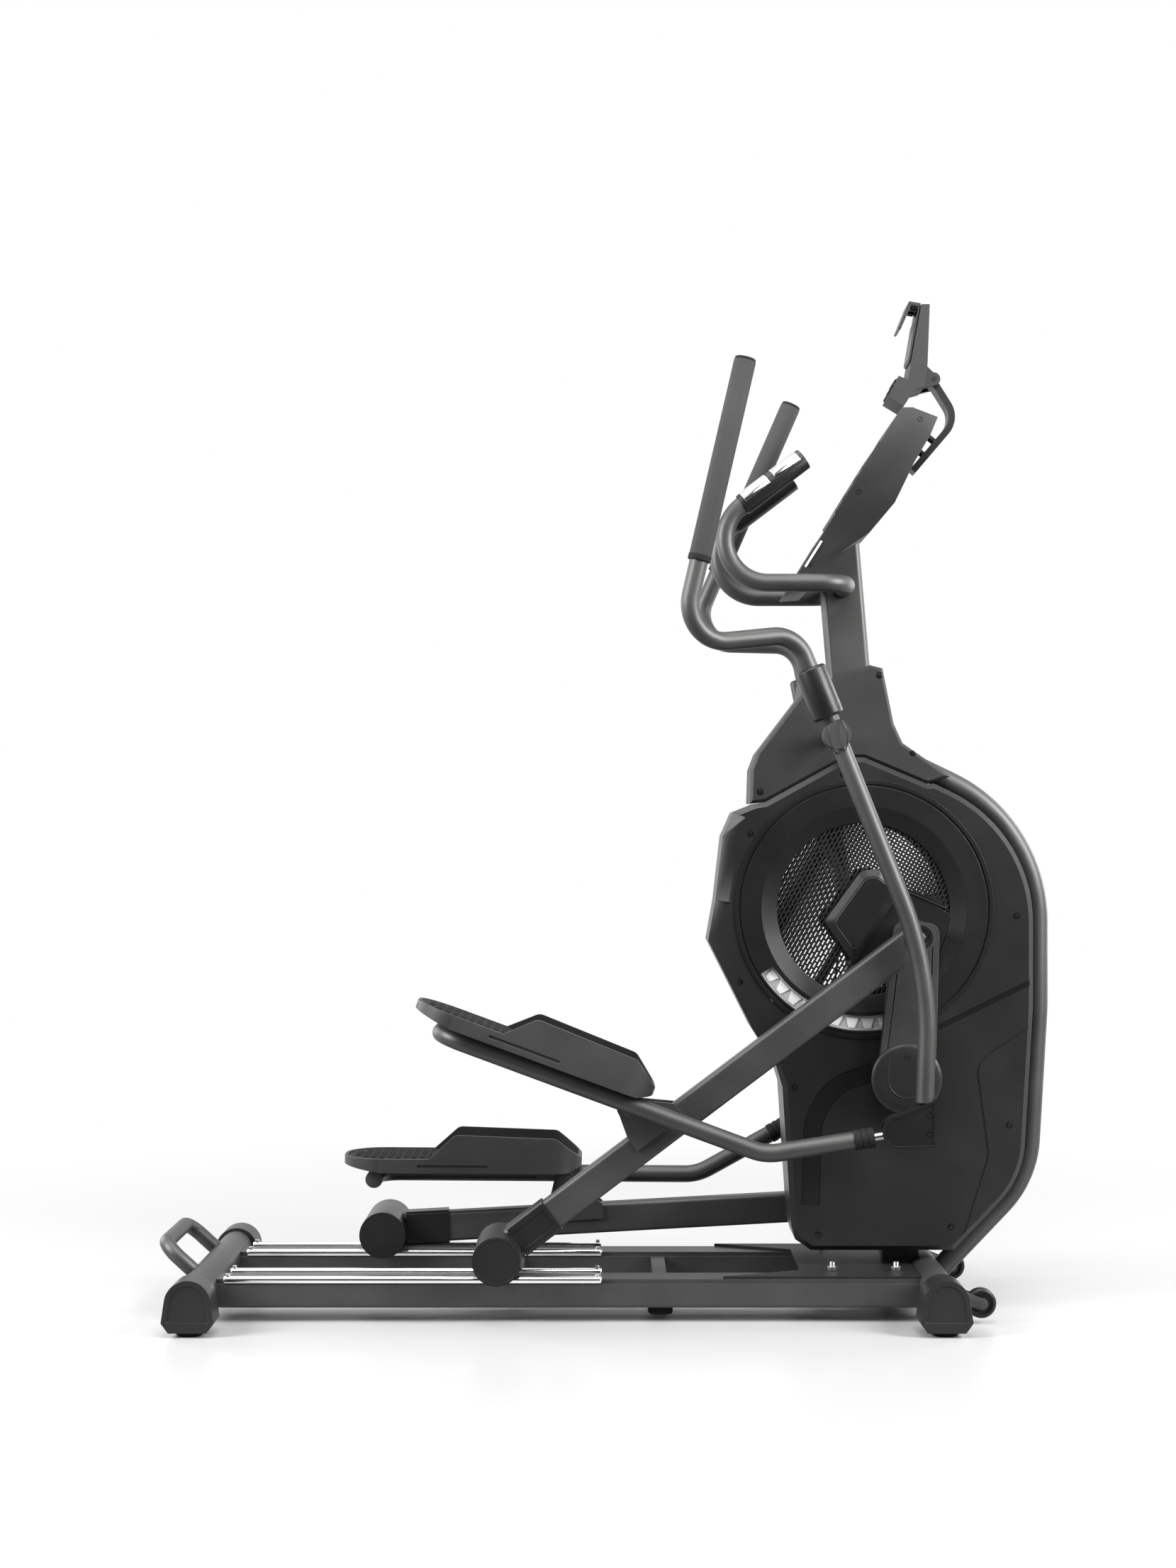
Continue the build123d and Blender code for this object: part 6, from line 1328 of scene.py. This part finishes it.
# %% Silver clips at the chin
CLIP_LOW = Vector((0.3499, -0.0925, 1.3284))
CLIP_TOP = Vector((0.3773, -0.0925, 1.3724))
CLIP_DEPTH = 0.0078
CLIP_HEIGHT = 0.0042
FLARE_START_Z = 1.329


def make_chin_clip():
    run = CLIP_TOP - CLIP_LOW
    clip = add_box((0, 0, 0), (run.length, CLIP_DEPTH, CLIP_HEIGHT))
    pick_faces(clip, facing(0, -1, 0))
    bpy.ops.mesh.inset(thickness=0.0016, depth=0.0008)
    leave_edit()
    soften(clip, 0.0008)
    lay(clip, (CLIP_LOW + CLIP_TOP) / 2, (0, -math.atan2(run.z, run.x), 0))
    for vertex in clip.data.vertices:
        vertex.co.y -= FLANK_SLOPE * max(0, vertex.co.z - FLARE_START_Z)
    return clip


end_both(make_chin_clip(), "chin_clip", CONSOLE_BODY, "silver_plastic", FINISH["window_white"])

# %% [markdown]
# The tablet holder's sliding jaw has a grey face plate and two rubber pads under its hook, and the lower jaw has three
# rubber ribs that keep a tablet from slipping. Plate and pads are modelled
# along the holder's face and leaned with it.

# %% Plate, pads and ribs of the tablet holder
HOLDER_SEAT = Vector((0.540, 0, 1.672))
HOLDER_TURN = math.atan2(0.136, 0.024)
PAD_PLACES = (-0.0225, 0.0225)
RIB_TOP = Vector((0.523, 0, 1.679))
RIB_LOW = Vector((0.504, 0, 1.641))
RIB_HALF = Vector((0, 0.040, 0))
RIB_RADIUS = 0.0034
make_finish("plate_grey", (0.045, 0.045, 0.046), 0.4, gloss=0.4, grain=1200, depth=0.02)


def lay_on_holder(piece):
    return lay(piece, HOLDER_SEAT, (0, -HOLDER_TURN, 0))


def make_jaw_plate():
    plate = add_box((0.074, 0, 0.0047), (0.072, 0.064, 0.0014))
    sink(plate, facing(0, 0, 1), 0.006, 0.0004)
    return soften(plate, 0.0004)


def make_jaw_pads():
    pads = []
    for across in PAD_PLACES:
        pad = add_box((0.1325, across, 0.0105), (0.0032, 0.020, 0.010))
        sink(pad, facing(-1, 0, 0), 0.002, 0.0008)
        pads.append(soften(pad, 0.0006))
    return joined(pads)


def make_jaw_ribs():
    ribs = []
    for share in (0.22, 0.5, 0.78):
        middle = RIB_TOP.lerp(RIB_LOW, share)
        rib = add_rod(middle - RIB_HALF, middle + RIB_HALF, RIB_RADIUS, sides=16)
        ribs.append(soften(rib, 0.001))
    return joined(ribs)


JAW_BODY = BODY_OF["tablet_jaw"]
end_piece(lay_on_holder(make_jaw_plate()), "jaw_plate", JAW_BODY, "charcoal_plastic", FINISH["plate_grey"])
end_piece(lay_on_holder(make_jaw_pads()), "jaw_pads", JAW_BODY, "rubber")
end_piece(make_jaw_ribs(), "lower_jaw_ribs", BODY_OF["tablet_holder"], "rubber")

# %% [markdown]
# The base plate lies flat under the lamp above. On the machine it has a darker, duller coat than the tubes. The
# console, the neck, the pedals and the holder have a duller grain than the covers, and their lighter tone is painted
# light: it stands in for the brighter light that falls on them.

# %% Coats of the base plate and the grained pieces, with painted light on the grained ones
make_finish("plate_coat", (0.009, 0.009, 0.009), 0.55, gloss=0.2, grain=500, depth=0.03)
dressed["front_base_plate"].data.materials[0] = FINISH["plate_coat"]
# This grain's lighter tone than the covers' plastic is painted light; its duller gloss is the plastic's own.
make_finish("dull_grain_painted_light", (0.019, 0.019, 0.0192), 0.5, gloss=0.3, grain=1400, depth=0.04)
for node in ("console_housing", "right_pedal", "left_pedal", "neck_covers", "tablet_holder"):
    dressed[node].data.materials[0] = FINISH["dull_grain_painted_light"]
print("coats:", FINISH["plate_coat"].name, FINISH["dull_grain_painted_light"].name)
